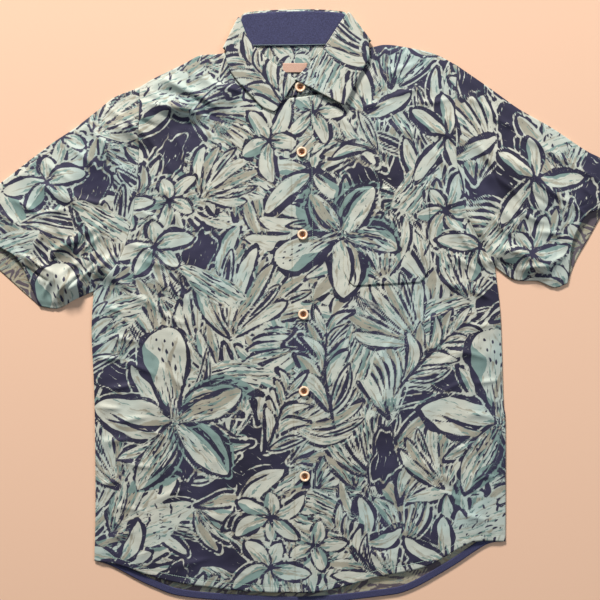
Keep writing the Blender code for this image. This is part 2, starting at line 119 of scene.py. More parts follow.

# ---- creases of the upper layer ----
# x, y, angle, length, half width, height, bend; a negative height is a trough
CREASES = (
    (-160, 276, -14, 130, 7, 3.2, 6), (-165, 262, -16, 120, 5, -1.3, 8), (-190, 292, -20, 70, 5, 1.6, -4),
    (-130, 318, -28, 60, 6, 1.4, 3), (-175, 312, -30, 60, 5, 1.3, 2), (-205, 283, -12, 44, 4, 1.0, 0),
    (-250, 268, -34, 70, 5, 1.6, 4), (-276, 236, -40, 90, 6, 2.0, -6), (-304, 214, -38, 70, 5, 1.5, 3),
    (-336, 190, -36, 60, 4, 1.3, 0), (-262, 214, -62, 60, 5, 1.2, 5), (-248, 170, -74, 70, 6, 1.5, 8),
    (-300, 150, -18, 80, 6, 1.6, -8), (-342, 134, 12, 60, 6, 1.6, 6), (-378, 140, -30, 70, 5, 1.5, 4),
    (-410, 128, -34, 60, 5, 1.4, 0), (-430, 112, -36, 46, 4, 1.2, 0), (-330, 84, 24, 66, 6, 2.0, 6),
    (-290, 88, 38, 60, 6, 1.8, -5), (-268, 66, 30, 40, 5, 1.8, 0), (-318, 56, 34, 46, 5, 1.8, 4),
    (-346, 66, 50, 44, 5, 1.8, 0), (-360, 96, 62, 40, 5, 1.3, 0), (-352, 26, 64, 34, 4, 1.6, 3),
    (-206, 232, -48, 70, 5, 1.3, 6), (-188, 206, -62, 60, 4, 1.1, -4), (-160, 218, -70, 70, 5, 1.2, 6),
    (-140, 184, -58, 56, 4, 0.9, 0), (-186, 160, -40, 64, 5, 1.3, 5), (-208, 128, -30, 52, 5, 1.2, 0),
    (-168, 120, -66, 60, 4, 1.0, -4), (-118, 236, -52, 70, 5, 1.0, 4), (-96, 190, -78, 80, 5, 0.9, 4),
    (-220, 84, -20, 54, 5, 1.5, 4), (-196, 60, -12, 66, 5, 1.2, -4), (-240, 30, -34, 50, 5, 1.6, 0),
    (-214, 10, -26, 60, 5, 1.3, 5), (-258, -2, -18, 44, 5, 1.5, 0), (-150, 40, -48, 64, 5, 1.0, 6),
    (-180, -14, -30, 70, 5, 1.1, -6), (-240, -44, -10, 60, 5, 1.4, 4), (-262, -72, 4, 44, 4, 1.3, 0),
    (-220, -84, -22, 66, 5, 1.2, 5), (-250, -112, 8, 54, 5, 1.3, -4), (-176, -96, -44, 70, 5, 0.9, 4),
    (-264, -140, -6, 40, 4, 1.2, 0), (-232, -156, 12, 60, 5, 1.2, 4), (-196, -176, -18, 60, 5, 0.9, 4),
    (-256, -186, 6, 50, 5, 1.2, 0), (-226, -220, -12, 66, 5, 1.1, -5), (-262, -244, 10, 44, 4, 1.0, 0),
    (-236, -280, -8, 60, 5, 1.0, 4), (-180, -260, 20, 70, 5, 0.8, 5), (-248, -318, 14, 54, 5, 0.9, 0),
    (-206, -338, 24, 66, 5, 0.9, 4), (-150, -356, 12, 64, 5, 0.8, 0), (-96, -368, -6, 60, 5, 0.7, 3),
    (-120, -206, -56, 80, 6, 0.7, 6), (-88, -120, -68, 90, 6, 0.7, 5), (-110, -20, -60, 80, 5, 0.8, 5),
    (-60, 60, -74, 90, 6, 0.7, 4), (-66, 236, -62, 60, 4, 0.8, 3), (-44, 262, -54, 44, 4, 0.9, 0),
    (60, 262, -40, 60, 5, 0.9, -4), (104, 282, 8, 70, 5, 1.0, 5), (150, 300, 16, 70, 5, 1.1, 4),
    (186, 286, 4, 60, 5, 1.1, -4), (140, 332, 20, 60, 5, 1.0, 0), (196, 246, -28, 66, 5, 1.0, 5),
    (204, 200, -58, 70, 5, 1.2, 6), (212, 146, -70, 60, 5, 1.3, 4), (224, 104, -54, 60, 5, 1.4, 5),
    (232, 62, -30, 56, 5, 1.5, 4), (214, 30, -20, 66, 5, 1.2, -4), (252, 20, -28, 44, 5, 1.5, 0),
    (190, -14, 24, 70, 5, 0.9, 5), (256, -26, 10, 50, 5, 1.2, 0), (238, -64, -12, 60, 5, 1.1, 5),
    (262, -104, 6, 44, 4, 1.1, 0), (212, -112, 30, 66, 5, 0.8, 5), (254, -150, -8, 52, 5, 1.0, 4),
    (230, -196, 10, 60, 5, 0.9, -4), (258, -236, -4, 50, 5, 0.9, 0), (212, -262, -24, 64, 5, 0.8, 4),
    (244, -292, -16, 54, 5, 0.9, 0), (168, -318, -22, 70, 5, 0.8, 4), (110, -346, -14, 66, 5, 0.7, 0),
    (120, -60, 52, 80, 6, 0.6, 5), (96, -170, 70, 80, 6, 0.6, 5), (140, -230, 60, 80, 6, 0.6, 4),
    (64, -300, 76, 70, 5, 0.6, 3), (70, 0, 84, 80, 5, 0.6, 3),
    (250, 286, -32, 60, 5, 1.4, 4), (286, 258, -30, 70, 6, 1.6, -5), (326, 232, -28, 70, 5, 1.4, 4),
    (368, 208, -30, 60, 5, 1.2, 0), (404, 186, -32, 60, 5, 1.2, 3), (258, 216, -52, 66, 5, 1.3, 6),
    (246, 164, -70, 60, 5, 1.5, 5), (290, 170, -40, 76, 6, 1.6, 6), (276, 120, -52, 60, 5, 1.8, 6),
    (318, 128, -30, 66, 6, 1.6, -6), (352, 160, -34, 60, 5, 1.2, 0), (350, 104, -8, 54, 5, 1.6, 5),
    (386, 140, -40, 46, 4, 1.2, 0), (300, 78, -16, 60, 5, 2.2, 5), (328, 56, 6, 56, 5, 1.8, 4),
    (360, 66, 30, 40, 5, 1.4, 0), (290, 56, -30, 40, 4, -1.2, 0), (402, 162, -44, 40, 4, 1.0, 0),
    (-366, 62, -29, 76, 4, 2.2, 0), (-372, 49, -29, 70, 4, -1.8, 0), (-310, 44, 20, 50, 5, 2.0, 4),
    (-284, 62, 44, 44, 4, -1.4, 0), (-336, 112, -50, 60, 4, 1.4, 4), (-228, 250, -30, 60, 4, 1.6, 3),
    (-100, 306, -12, 56, 5, 2.0, 2), (-128, 268, -14, 80, 4, -1.6, 4), (-214, 258, -20, 50, 4, -1.4, 0),
    (248, 96, -61, 116, 4, -2.0, 5), (258, 102, -60, 110, 6, 2.2, 5), (240, 84, -58, 80, 4, 1.4, -4),
    (302, 92, -34, 70, 4, -1.2, 4), (336, 150, -38, 70, 4, -1.0, 0), (268, 190, -56, 70, 4, -1.0, 4),
    (-196, 36, -28, 150, 9, 1.3, 8), (-150, -60, -36, 160, 11, 1.0, -9), (-70, -60, -70, 180, 12, 0.8, 9),
    (-120, 150, -62, 170, 12, 0.9, -8), (-170, -150, -24, 150, 10, 0.9, 7), (-110, -290, 14, 160, 12, 0.7, 8),
    (190, 60, -44, 150, 10, 1.1, 8), (120, -120, 62, 170, 12, 0.7, -8), (200, -80, 36, 140, 10, 0.9, 7),
    (80, -260, 70, 170, 12, 0.6, 8), (190, -230, -30, 140, 10, 0.8, 6), (130, 250, -14, 150, 10, 1.0, -6),
    (40, 130, -84, 160, 10, 0.6, 6), (-252, 196, -58, 120, 9, 1.4, 7), (-340, 160, -30, 150, 9, 1.6, -7),
    (320, 190, -34, 160, 9, 1.5, 7), (290, 130, -44, 130, 8, 1.5, -6), (-310, 96, 30, 110, 8, 1.5, 5),
    (-332, 22, 50, 60, 8, 2.4, 6), (-304, 36, 42, 66, 8, 2.6, -5), (-278, 54, 38, 52, 8, 2.0, 4),
    (-318, 30, 46, 60, 4, -1.8, 0), (-290, 46, 42, 56, 4, -1.6, 0), (-152, 302, -28, 116, 8, 2.4, 6),
    (-140, 288, -22, 110, 4, -1.4, 5), (-240, 246, -30, 90, 7, 1.8, 5), (270, 62, -20, 60, 7, 1.8, 4),
)
# the same for the layer on the table, seen from below; heights are kept small so that it stays flat
BACK_CREASES = (
    (-180, 150, -64, 120, 8, 0.5, 8), (-60, 210, -30, 110, 8, 0.5, -6), (90, 190, 24, 120, 8, 0.5, 8),
    (190, 90, 60, 110, 8, 0.5, 6), (-210, -20, -20, 100, 8, 0.5, 6), (-120, -130, 40, 120, 8, 0.5, -8),
    (20, -60, -56, 120, 8, 0.4, 8), (150, -120, 34, 110, 8, 0.5, 6), (-200, -250, 16, 110, 8, 0.5, 6),
    (0, -260, -12, 130, 8, 0.4, 8), (190, -260, -28, 110, 8, 0.5, -6), (60, 60, 70, 110, 8, 0.4, 5),
)

# ---- collar stations, from the right end round the back to the left end ----
# kind, seam x, seam y, roll x, roll y, tip x, tip y, stand z, leaf z
COLLAR = (
    ("front", -4.5, 293, -3.5, 314, -33, 271.5, 4.8, 7.6),
    ("front", -22, 295, -22, 328, -49.7, 278.4, 4.8, 7.8),
    ("front", -44, 301, -45, 346, -66.5, 295.2, 4.8, 7.9),
    ("front", -64, 313, -59, 358, -87.5, 317.6, 4.8, 7.9),
    ("front", -80, 334, -70, 370, -99, 338.6, 4.8, 7.7),
    ("fold", -90, 362, -86, 401, -105.5, 361, 3.5, 4.2),
    ("back", -72, 368, -70, 411, -84, 369, 2.2, 0.7),
    ("back", 0, 368.5, 0, 415, 0, 368.5, 2.2, 0.7),
    ("back", 62, 369.5, 56, 413, 80, 372, 2.2, 0.7),
    ("fold", 88, 371, 73, 409, 101.5, 371, 3.5, 4.4),
    ("front", 84, 348, 57, 391, 98, 347, 4.8, 8.4),
    ("front", 66, 318, 41, 366, 90, 332, 5.6, 9.0),
    ("front", 44, 305, 25, 347, 81.5, 315, 6.6, 9.4),
    ("front", 20, 299, 10, 330, 73, 297.5, 6.9, 10.2),
    ("front", -8, 294, -3, 315, 64, 280, 7.0, 11.9),
)
SEAM_XY, ROLL_XY, TIP_XY, STAND_Z, LEAF_Z = slice(1, 3), slice(3, 5), slice(5, 7), 7, 8
STAND_TURN = 1.3
LEAF_TURN = 3.5
STAND_INSIDE = 3.0
UNDERLAP = 16.0


POCKET_SIZE = (120.0, 136.0)
POCKET_CORNER = (63.0, 164.0)  # its top corner towards the buttons
POCKET_SLOPE = 0.055  # rise of its mouth towards the side
POCKET_HEM = 24.0
TAPE_WIDTH = 10.0
TAPE_LEVEL = CLOTH + SEAM + 0.8
LABEL_BOX = (-22.0, 12.0, 340.5, 327.5)  # left, right, top and bottom
LABEL_LEVEL = 3.2
INNER_STAND_LEVEL = 3.9
FACING_CUT = 12  # columns left off each end of the facing, over the armholes
BUTTON_PROFILE = (  # shares of the radius and the height, from the dish over the rim to the foot
    (0.0, 0.60), (0.30, 0.60), (0.52, 0.64), (0.62, 0.76), (0.70, 0.95), (0.78, 1.0), (0.87, 0.99),
    (0.95, 0.88), (1.0, 0.66), (1.0, 0.34), (0.94, 0.10), (0.80, 0.0), (0.0, 0.0),
)
BUTTON_HOLES = (4, 1.9, 0.5, 1.3)  # how many, how far out, their radius and their depth
STITCH = (2.2, 0.6, 0.35)  # length, width and height of one stitch
STITCH_STEP = 3.0


# ---- curves and patches ----
def smooth(points, count):
    """A Catmull-Rom curve through the points, read at even steps of its length."""
    p = np.array(points, float)
    p = np.vstack([2 * p[0] - p[1], p, 2 * p[-1] - p[-2]])
    t = np.linspace(0, 1, 33)[:-1, None]
    spans = []
    for a, b, c, d in zip(p, p[1:], p[2:], p[3:]):
        spans.append(b + 0.5 * t * (c - a + t * (2 * a - 5 * b + 4 * c - d + t * (3 * (b - c) + d - a))))
    return even(np.vstack(spans + [p[-2][None]]), count)


def even(points, count):
    """Points at even steps along a chain of points."""
    walked = np.concatenate([[0], np.cumsum(np.linalg.norm(np.diff(points, axis=0), axis=1))])
    steps = np.linspace(0, walked[-1], count)
    return np.stack([np.interp(steps, walked, axis) for axis in points.T], axis=1)


def patch(start, end, first, last):
    """Coons patch: rows run from start to end, and first and last are its side edges."""
    down = np.linspace(0, 1, len(first))[:, None, None]
    across = np.linspace(0, 1, len(start))[None, :, None]
    ruled = (1 - down) * start[None] + down * end[None]
    sides = (1 - across) * first[:, None] + across * last[:, None]
    corners = (1 - down) * ((1 - across) * start[0] + across * start[-1])
    corners = corners + down * ((1 - across) * end[0] + across * end[-1])
    return ruled + sides - corners


def to_segment(points, a, b):
    """Distance of each point from the straight line between a and b."""
    a, b = np.array(a, float), np.array(b, float)
    along = ((points - a) @ (b - a) / max((b - a) @ (b - a), 1e-9)).clip(0, 1)
    return np.linalg.norm(points - a - along[..., None] * (b - a), axis=-1)


def ease(x):
    """From 0 to 1 with soft ends: 3x^2 - 2x^3."""
    x = np.clip(x, 0, 1)
    return x * x * (3 - 2 * x)


def inside_by(points):
    """Distance in from the folded sides of the garment; the hems don't count."""
    least = np.full(points.shape[:-1], 1e9)
    for half in (RIGHT_SIDE, LEFT_SIDE):
        for edge in ("shoulder", "sleeve_top", "sleeve_under", "side"):
            chain = smooth(half[edge], 14)
            for a, b in zip(chain, chain[1:]):
                least = np.minimum(least, to_segment(points, a, b))
    return least


def turned_by(points, x, y, angle):
    """Each point's distance along and across a line through (x, y) at an angle in degrees."""
    c, s = math.cos(math.radians(angle)), math.sin(math.radians(angle))
    dx, dy = points[..., 0] - x, points[..., 1] - y
    return dx * c + dy * s, dy * c - dx * s


def creases(points, table):
    """Sum of soft ridges: height times (1 - u^2)^2 along, and a crest across that is steeper on one side."""
    height = np.zeros(points.shape[:-1])
    for x, y, angle, length, width, rise, bend in table:
        near = np.nonzero((abs(points[..., 0] - x) < length) & (abs(points[..., 1] - y) < length))
        u, v = turned_by(points[near], x, y, angle)
        u = u / (0.5 * length)
        v = v + bend * u * u
        v = np.where(v > 0, v * 1.5, v * 0.8) / (width * (1 - 0.45 * u))
        along = np.clip(1 - u * u, 0, 1) ** 1.5
        height[near] += 2.4 * rise * along / (1 + v * v) ** 1.6
    return height


def rumple(points):
    """Slight unevenness of the cloth: a sum of crossed sines, each of its own length and way."""
    x, y = points[..., 0], points[..., 1]
    total = np.zeros(x.shape)
    for length, angle, rise, shift in ((61, 20, 0.34, 0.4), (43, 75, 0.26, 2.0), (29, 130, 0.17, 1.1),
                                       (21, 50, 0.12, 4.2), (17, 160, 0.10, 0.7), (12, 100, 0.06, 2.9)):
        c, s = math.cos(math.radians(angle)), math.sin(math.radians(angle))
        u, v = x * c + y * s, y * c - x * s
        wander = 1.3 * np.sin(v / (0.6 * length) + shift)
        total += 0.9 * rise * np.sin(2 * math.pi * u / length + shift + wander)
    return total


def upper(points, fine=True):
    """Height of the underside of the upper layer: layer, pillow, folds, then creases and rumples."""
    inside = inside_by(points)
    height = CLOTH + SEAM + (LAYER - CLOTH - SEAM) * ease(inside / EDGE_RISE)
    height = height + PILLOW * ease(inside / PILLOW_REACH)
    for x0, y0, x1, y1, width, rise in FOLDS:
        ridge = np.exp(-((to_segment(points, (x0, y0), (x1, y1)) / width) ** 2))
        height += rise * ridge * ease(inside / FOLD_REACH)
    if fine:
        height += (creases(points, CREASES) + rumple(points)) * ease(inside / 9.0)
        height = np.maximum(height, CLOTH + SEAM + TROUGH_FLOOR * ease(inside / EDGE_RISE))
    return height


def placket(y):
    """The lapping front edge at a height on the shirt."""
    return PLACKET_EDGE - PLACKET_LEAN * y


def lap(points):
    """How far the lapping front is lifted over the one below it."""
    past = points[..., 0] - placket(points[..., 1]) - OVERLAP - 3.0
    return OVERLAP_RISE * (1 - ease(past / OVERLAP_EASE))


def lifted(grid, height):
    """A flat grid given its heights."""
    return np.concatenate([grid, np.broadcast_to(height, grid.shape[:-1])[..., None]], axis=-1)


# ---- the print: three screens of ink, each a signed distance in mm that is above 0 where there is ink ----
class Screens:
    """The print on a set of points; each motif changes only the points near it.

    strokes holds each point's place across and along the nearest motif and how much dry brushwork it has
    there, from -3 for none to 1 for close strokes.
    """

    def __init__(self, points):
        self.points = points.reshape(-1, 2)
        x, y = self.points.T
        wander = [np.sin(x / 23 + 1.7 * np.sin(y / 31)), np.sin(y / 27 + 1.5 * np.sin(x / 19))]
        self.points = self.points + 2.4 * np.stack(wander, 1)
        x, y = self.points.T
        count = len(self.points)
        self.navy = np.full(count, 2.0)
        self.teal = np.full(count, -3.0)
        self.khaki = np.full(count, -3.0)
        self.strokes = np.stack([0.5 * x + 0.8 * y, 0.8 * x - 0.5 * y, np.full(count, -1.7)], 1)

    def near(self, x, y, reach):
        """Indexes of the points within reach of a place."""
        gap = self.points - (x, y)
        return np.nonzero((abs(gap[:, 0]) < reach) & (abs(gap[:, 1]) < reach))[0]

    def lens(self, x, y, angle, length, width, bend, a, b):
        """Signed distance to a bent lens: |v| - W t^a (1 - t)^b, v from the bent axis; under 0 inside."""
        here = self.near(x, y, length * 1.15 + 10)
        u, v = turned_by(self.points[here], x, y, angle)
        t = u / length
        past = np.maximum(-u, u - length).clip(0)
        t = t.clip(0, 1)
        slope = bend * 4 * (1 - 2 * t)
        peak = (a / (a + b)) ** a * (b / (a + b)) ** b
        half = 0.5 * width * t**a * (1 - t) ** b / peak
        across = v - bend * length * 4 * t * (1 - t)
        gap = np.hypot(across, past) - half
        return here, gap / np.sqrt(1 + slope**2), u, across, half

    def blob(self, x, y, angle, rx, ry, wave):
        """Signed distance to an ellipse whose edge waves."""
        here = self.near(x, y, max(rx, ry) * 1.35 + 10)
        u, v = turned_by(self.points[here], x, y, angle)
        turn = np.arctan2(v / ry, u / rx)
        edge = 1 + wave * (np.sin(3 * turn + x) + 0.6 * np.sin(5 * turn + y) + 0.4 * np.sin(9 * turn + x + y))
        return here, (np.hypot(u / rx, v / ry) - edge) * min(rx, ry), u, v

    # what a motif does to the screens where its signed distance is s
    def clear(self, here, s):
        for screen in (self.navy, self.teal, self.khaki):
            screen[here] = np.minimum(screen[here], s)

    def lay(self, screen, here, s):
        screen[here] = np.maximum(screen[here], -s)

    def line(self, screen, here, s, half):
        screen[here] = np.maximum(screen[here], half - abs(s))

    def resist(self, here, s, half):
        self.navy[here] = np.minimum(self.navy[here], abs(s) - half)

    def brush(self, here, s, across, along, amount):
        """Inside the shape, strokes follow its own length."""
        inside = s < 0
        over = here[inside]
        self.strokes[over, 0] = across[inside]
        self.strokes[over, 1] = along[inside]
        self.strokes[over, 2] = np.broadcast_to(amount, s.shape)[inside]

    def petal(self, x, y, angle, length, width, bend=0.0, style="pale", a=0.75, b=0.7):
        """One petal, leaf or blade in a style; the slender ones curve a little more, each its own way."""
        if width < 0.42 * length:
            bend += 0.11 * math.sin(0.7 * x + 1.3 * y)
        here, s, u, v, half = self.lens(x, y, angle, length, width, bend, a, b)
        t = (u / length).clip(0, 1)
        side = v / np.maximum(half, 1.0)
        uneven = 1 + 0.35 * np.sin(u / 9.0 + x) + 0.2 * np.sin(u / 4.1 + y)
        bold = min(2.6, 1.4 + 0.032 * width)
        mood = math.sin(12.9 * x + 4.1 * y + angle)
        if style == "shade":
            self.lay(self.teal, here, s)
        elif style == "navy":
            self.clear(here, s - 2.2)
            self.lay(self.navy, here, s)
            self.resist(here, s + 4.0, 1.1)
            self.brush(here, s, v, u, -1.1)
            self.resist(here, v - 0.15 * half, np.where((t > 0.1) & (t < 0.8), 1.0, -1.0))
        else:
            self.resist(here, s - 2.0 * bold - 1.6, 1.15)
            self.clear(here, s)
            amount = {"pale": -1.1, "khaki": -0.6, "teal": -1.0, "bold": -1.4, "veined": 0.0}[style]
            self.brush(here, s + 1.0, v, u, amount + 0.5 - 1.8 * t**1.5)
            if style == "khaki":
                self.lay(self.khaki, here, np.maximum(s + 1.5, (abs(side - 0.1) - 0.62) * half))
            if style == "teal":
                self.lay(self.teal, here, np.maximum(s + 0.6, (0.0 - side) * half))
            elif mood > 0.0 and width > 12:
                shadow = (0.6 + 0.35 * np.sin(u / 11 + y) - side) * half
                self.lay(self.teal, here, np.maximum(s + 0.6, shadow))
            if abs(mood) > 0.35 and width > 12:
                wash = abs(side + 0.5 * mood + 0.3 * np.sin(u / 15 + x)) - 0.3 + 0.3 * t
                self.lay(self.khaki, here, np.maximum(s + 1.8, wash * half))
            if width > 26 and mood < 0.3:
                inner = abs(side - 0.42 + 0.16 * np.sin(u / 13 + y)) * half - 1.5 * uneven
                self.lay(self.navy, here, np.maximum(inner, (abs(t - 0.5) - 0.34) * 20))
            thick = bold * uneven * (1.5 if style == "bold" else 1.0)
            self.line(self.navy, here, s - 0.4 * thick, thick * np.where(side > 0, 1.15, 0.8))

    def stroke(self, x, y, angle, length, width=2.4, bend=0.0):
        """One tapering brush stroke."""
        here, s, *_ = self.lens(x, y, angle, length, width, bend, 0.5, 0.9)
        self.lay(self.navy, here, s)

    def hatched(self, x, y, turn, size):
        """A pale patch of close dry strokes at an angle."""
        here, s, u, v = self.blob(x, y, turn, size, 0.42 * size, 0.10)
        self.clear(here, s)
        self.brush(here, s, v, u, (-0.2 * s - 1.2).clip(-1.5, -0.25))

    def pool(self, x, y, turn, size):
        """A dark blot with a thin pale line inside its edge."""
        here, s, u, v = self.blob(x, y, turn, size, 0.52 * size, 0.12)
        self.lay(self.navy, here, s)
        self.brush(here, s, v, u, -1.3)
        self.resist(here, s + 4.5, 0.8)

    def clearing(self, x, y, turn, size):
        """Bare ground with loose rings, specks and short dashes."""
        here, s, u, v = self.blob(x, y, turn, size, 0.56 * size, 0.12)
        self.clear(here, s)
        self.brush(here, s, v, u, -1.5)
        for k in range(18):
            reach, way = 0.9 * math.sqrt((k + 0.5) / 18), 2.4 * k
            across, along = 0.5 * size * reach * math.sin(way), 0.9 * size * reach * math.cos(way)
            bearing = math.radians(turn)
            px = x + along * math.cos(bearing) - across * math.sin(bearing)
            py = y + along * math.sin(bearing) + across * math.cos(bearing)
            if k % 3:
                self.stroke(px, py, 60 + 50 * math.sin(way), 10 + 4 * math.cos(3 * k), 3.0, 0.06)
            else:
                self.ring(px, py, 2.6 + 0.8 * math.sin(k))

    def ring(self, x, y, radius):
        """A thin outlined ring."""
        here, s, *_ = self.blob(x, y, 0, radius, radius, 0.05)
        self.line(self.navy, here, s, 0.75)

    def hook(self, x, y, angle, length, radius):
        """A loop round the foot of a bloom: a pale band between two outlines, open at its far end."""
        here = self.near(x, y, length + 3 * radius)
        u, v = turned_by(self.points[here], x, y, angle)
        s = np.hypot(v, np.minimum(u, 0.0)) - radius
        beyond = u - length + 0.6 * abs(v)
        self.clear(here, np.maximum(s - 3.0, beyond))
        for level, half in ((2.6, 1.5), (-2.6, 1.0)):
            self.lay(self.navy, here, np.maximum(abs(s - level) - half, beyond))

    def flower(self, x, y, size, angle, petals=5, style="pale", wide=0.46):
        """Petals round a middle, with a small dark star."""
        for k in range(petals):
            turn = angle + 360 * k / petals + 15 * math.sin(3.1 * k + x)
            kind = "teal" if k == 2 and style == "pale" else style
            length = size * (1 + 0.24 * math.sin(2.3 * k + y))
            self.petal(x, y, turn, length, wide * size, 0.05 * math.sin(k + x), kind, 0.62, 0.55)
        for k in range(petals):
            self.stroke(x, y, angle + 360 * k / petals + 14, size * 0.42, 2.2 + size * 0.03)
        here, s, *_ = self.blob(x, y, 0, size * 0.07, size * 0.07, 0.1)
        self.lay(self.navy, here, s)

    def spray(self, x, y, angle, size, blades=7, spread=110, styles=("khaki", "pale", "navy"), wide=0.17):
        """Blades fanned out from a base, longest in the middle."""
        for k in range(blades):
            share = k / (blades - 1) - 0.5
            length = size * (1.05 - 0.9 * share**2) * (1 + 0.08 * math.sin(5 * k + x))
            self.petal(x, y, angle + spread * share, length, wide * size, 0.10 * share,
                       styles[k % len(styles)], 1.0, 0.6)

    def frond(self, x, y, turn, size):
        """A curved stem with blades on both sides, the far ones shorter, drawn from the tip to the foot."""
        curl = math.copysign(32, math.sin(x + y))
        for k in range(5, 0, -1):
            share = k / 5
            way = math.radians(turn + 0.5 * curl * share)
            px, py = x + size * share * math.cos(way), y + size * share * math.sin(way)
            reach = 0.56 * size * (1.15 - 0.5 * share)
            for lean, style in ((34, "pale" if k % 2 else "khaki"), (-38, "navy" if k % 3 == 1 else "pale")):
                self.petal(px, py, turn + curl * share + lean, reach, 0.27 * reach, -0.002 * lean, style,
                           0.8, 0.8)
        self.stroke(x, y, turn + 0.5 * curl, 1.1 * size, 5.0, -curl / 800)

    def fan(self, x, y, turn, size):
        """Seven slender blades from one foot."""
        self.spray(x, y, turn, size, 7, 84, ("pale", "navy", "khaki"), 0.17)

    def star(self, x, y, turn, size):
        """A loose flower with slender outlined petals."""
        self.flower(x, y, size, turn, 5, "bold", 0.34)

    def cluster(self, x, y, turn, size):
        """Three small flowers that touch."""
        for k in range(3):
            way = math.radians(turn + 120 * k)
            self.flower(x + size * math.cos(way), y + size * math.sin(way), size * (1 + 0.1 * k),
                        turn + 31 * k, 5 + k % 2, "pale", 0.46)

    def bloom(self, x, y, turn, size):
        """A big open flower: blots and slender leaves, four broad petals, then a lip with ribs and dashes."""
        for k in range(3):
            lean = turn + 120 + 60 * k
            way, reach = math.radians(lean), 0.4 * size
            self.pool(x + reach * math.cos(way), y + reach * math.sin(way), lean, 0.34 * size)
        for k in range(8):
            self.petal(x, y, turn + 30 + 43 * k, size * (0.86 + 0.1 * math.sin(3 * k)), 0.19 * size,
                       0.12 * (-1) ** k, ("pale", "navy", "veined")[k % 3])
        broad = ((0.50, "bold"), (0.36, "veined"), (0.46, "teal"), (0.42, "khaki"))
        for k, (wide, style) in enumerate(broad):
            way = turn + 72 * (k + 1)
            self.petal(x, y, way - 7, 1.04 * size, 0.36 * size, 0.24, "shade")
            self.petal(x, y, way, size * (1 - 0.05 * k), wide * size, 0.05, style)
            self.stroke(x, y, way + 2, 0.84 * size, 0.075 * size, 0.14)
        self.petal(x, y, turn, 1.12 * size, 0.52 * size, 0.04, "bold", 1.15, 0.42)
        for k in range(4):
            self.stroke(x, y, turn - 12 + 8 * k, 0.66 * size, 2.6, -0.04)
        for k in range(9):
            way, reach = math.radians(turn + 5 * (k % 3 - 1)), size * (0.62 + 0.045 * k)
            px, py = x + reach * math.cos(way), y + reach * math.sin(way)
            self.stroke(px, py, turn + 8 * (k % 3 - 1), size * (0.09 - 0.005 * k), 0.028 * size)
        self.hook(x, y, turn, 0.3 * size, 0.042 * size)

    def result(self):
        """The screens as two vectors per point."""
        ink = np.stack([self.navy, self.teal, self.khaki], 1).clip(-3, 3)
        return ink, self.strokes


# ---- the print's repeat: the cloth says the same thing again after this width and height, mm ----
REPEAT = (455.0, 600.0)
REPEAT_START = (-310.0, -350.0)
# kind of motif, x, y, turn and size inside one repeat, from the back of the drawing to the front
REPEAT_ROWS = (
    ("hatched", 40, 330, 25, 62), ("hatched", 240, 540, -35, 66), ("hatched", 400, 300, 65, 58),
    ("hatched", 210, 250, 5, 56), ("hatched", 350, 60, -20, 60), ("hatched", 20, 520, 50, 50),
    ("clearing", 300, 400, 80, 58), ("clearing", 110, 50, 20, 44),
    ("pool", 170, 420, 75, 50), ("pool", 330, 300, 15, 44), ("pool", 60, 250, -30, 42),
    ("pool", 430, 140, 85, 44), ("pool", 240, 60, 30, 36), ("pool", 130, 560, 60, 44),
    ("pool", 400, 520, -60, 44),
    ("fan", 60, 100, 100, 96), ("fan", 260, 330, 60, 96), ("fan", 430, 390, 115, 104),
    ("fan", 170, 500, 40, 92),
    ("star", 330, 540, 20, 74), ("star", 400, 20, 80, 66), ("star", 60, 590, 10, 62),
    ("fan", 215, 305, 75, 118), ("fan", 20, 300, 130, 104), ("fan", 300, 190, 30, 100),
    ("frond", 360, 180, 110, 130), ("frond", 30, 420, 70, 120), ("frond", 250, 130, 50, 110),
    ("frond", 440, 560, 150, 110), ("frond", 445, 225, 62, 120), ("hatched", 190, 380, -30, 46),
    ("bloom", 140, 190, 98, 116), ("bloom", 370, 450, 200, 88),
    ("cluster", 290, 20, 0, 42), ("cluster", 100, 470, 40, 40),
)
# how far each cut piece lies from the fronts on the printed cloth
FRONT_PHASE = (0.0, 0.0)
RIGHT_SLEEVE_PHASE = (150.0, -90.0)
LEFT_SLEEVE_PHASE = (-120.0, 60.0)
COLLAR_PHASE = (40.0, 200.0)
BACK_PHASE = (20.0, 40.0)
YOKE_PHASE = (0.0, -30.0)
FACING_PHASE = (0.0, -60.0)
GROUND_STEP = 62.0
GROUND_STYLES = ("pale", "khaki", "navy", "bold", "veined", "navy", "teal", "bold", "khaki", "pale")


def draw(points, phase, seed):
    """The screens over some points: a ground of sprays on a jittered grid, then the repeats over them."""
    screens = Screens(points + phase)
    flat = points.reshape(-1, 2) + phase
    low, high = flat.min(0), flat.max(0)
    first, last = ((low - 90) // GROUND_STEP).astype(int), ((high + 90) // GROUND_STEP).astype(int)
    for i in range(first[0], last[0] + 1):
        for j in range(first[1], last[1] + 1):
            jog_x, jog_y, turn, size, kind = np.random.default_rng((seed, i + 100, j + 100)).uniform(0, 1, 5)
            x, y = GROUND_STEP * (i + jog_x), GROUND_STEP * (j + jog_y)
            flow = 70 + 55 * math.sin(x / 83 + 0.6) + 60 * math.cos(y / 97 - x / 140) + 80 * (turn - 0.5)
            styles = [GROUND_STYLES[(int(10 * kind) + k) % 10] for k in (0, 3, 2)]
            screens.spray(x, y, flow, 84 + 40 * size, 4 + int(3 * turn), 36 + 46 * jog_x, styles,
                          0.15 + 0.10 * jog_y)
    start = np.array(REPEAT_START)
    first, last = ((low - start - 150) // REPEAT).astype(int), ((high - start + 150) // REPEAT).astype(int)
    corners = [start + np.array((i, j)) * REPEAT for j in range(first[1], last[1] + 1)
               for i in range(first[0], last[0] + 1)]
    for kind, x, y, turn, size in REPEAT_ROWS:
        for corner in corners:
            getattr(screens, kind)(corner[0] + x, corner[1] + y, turn, size)
    return screens.result()


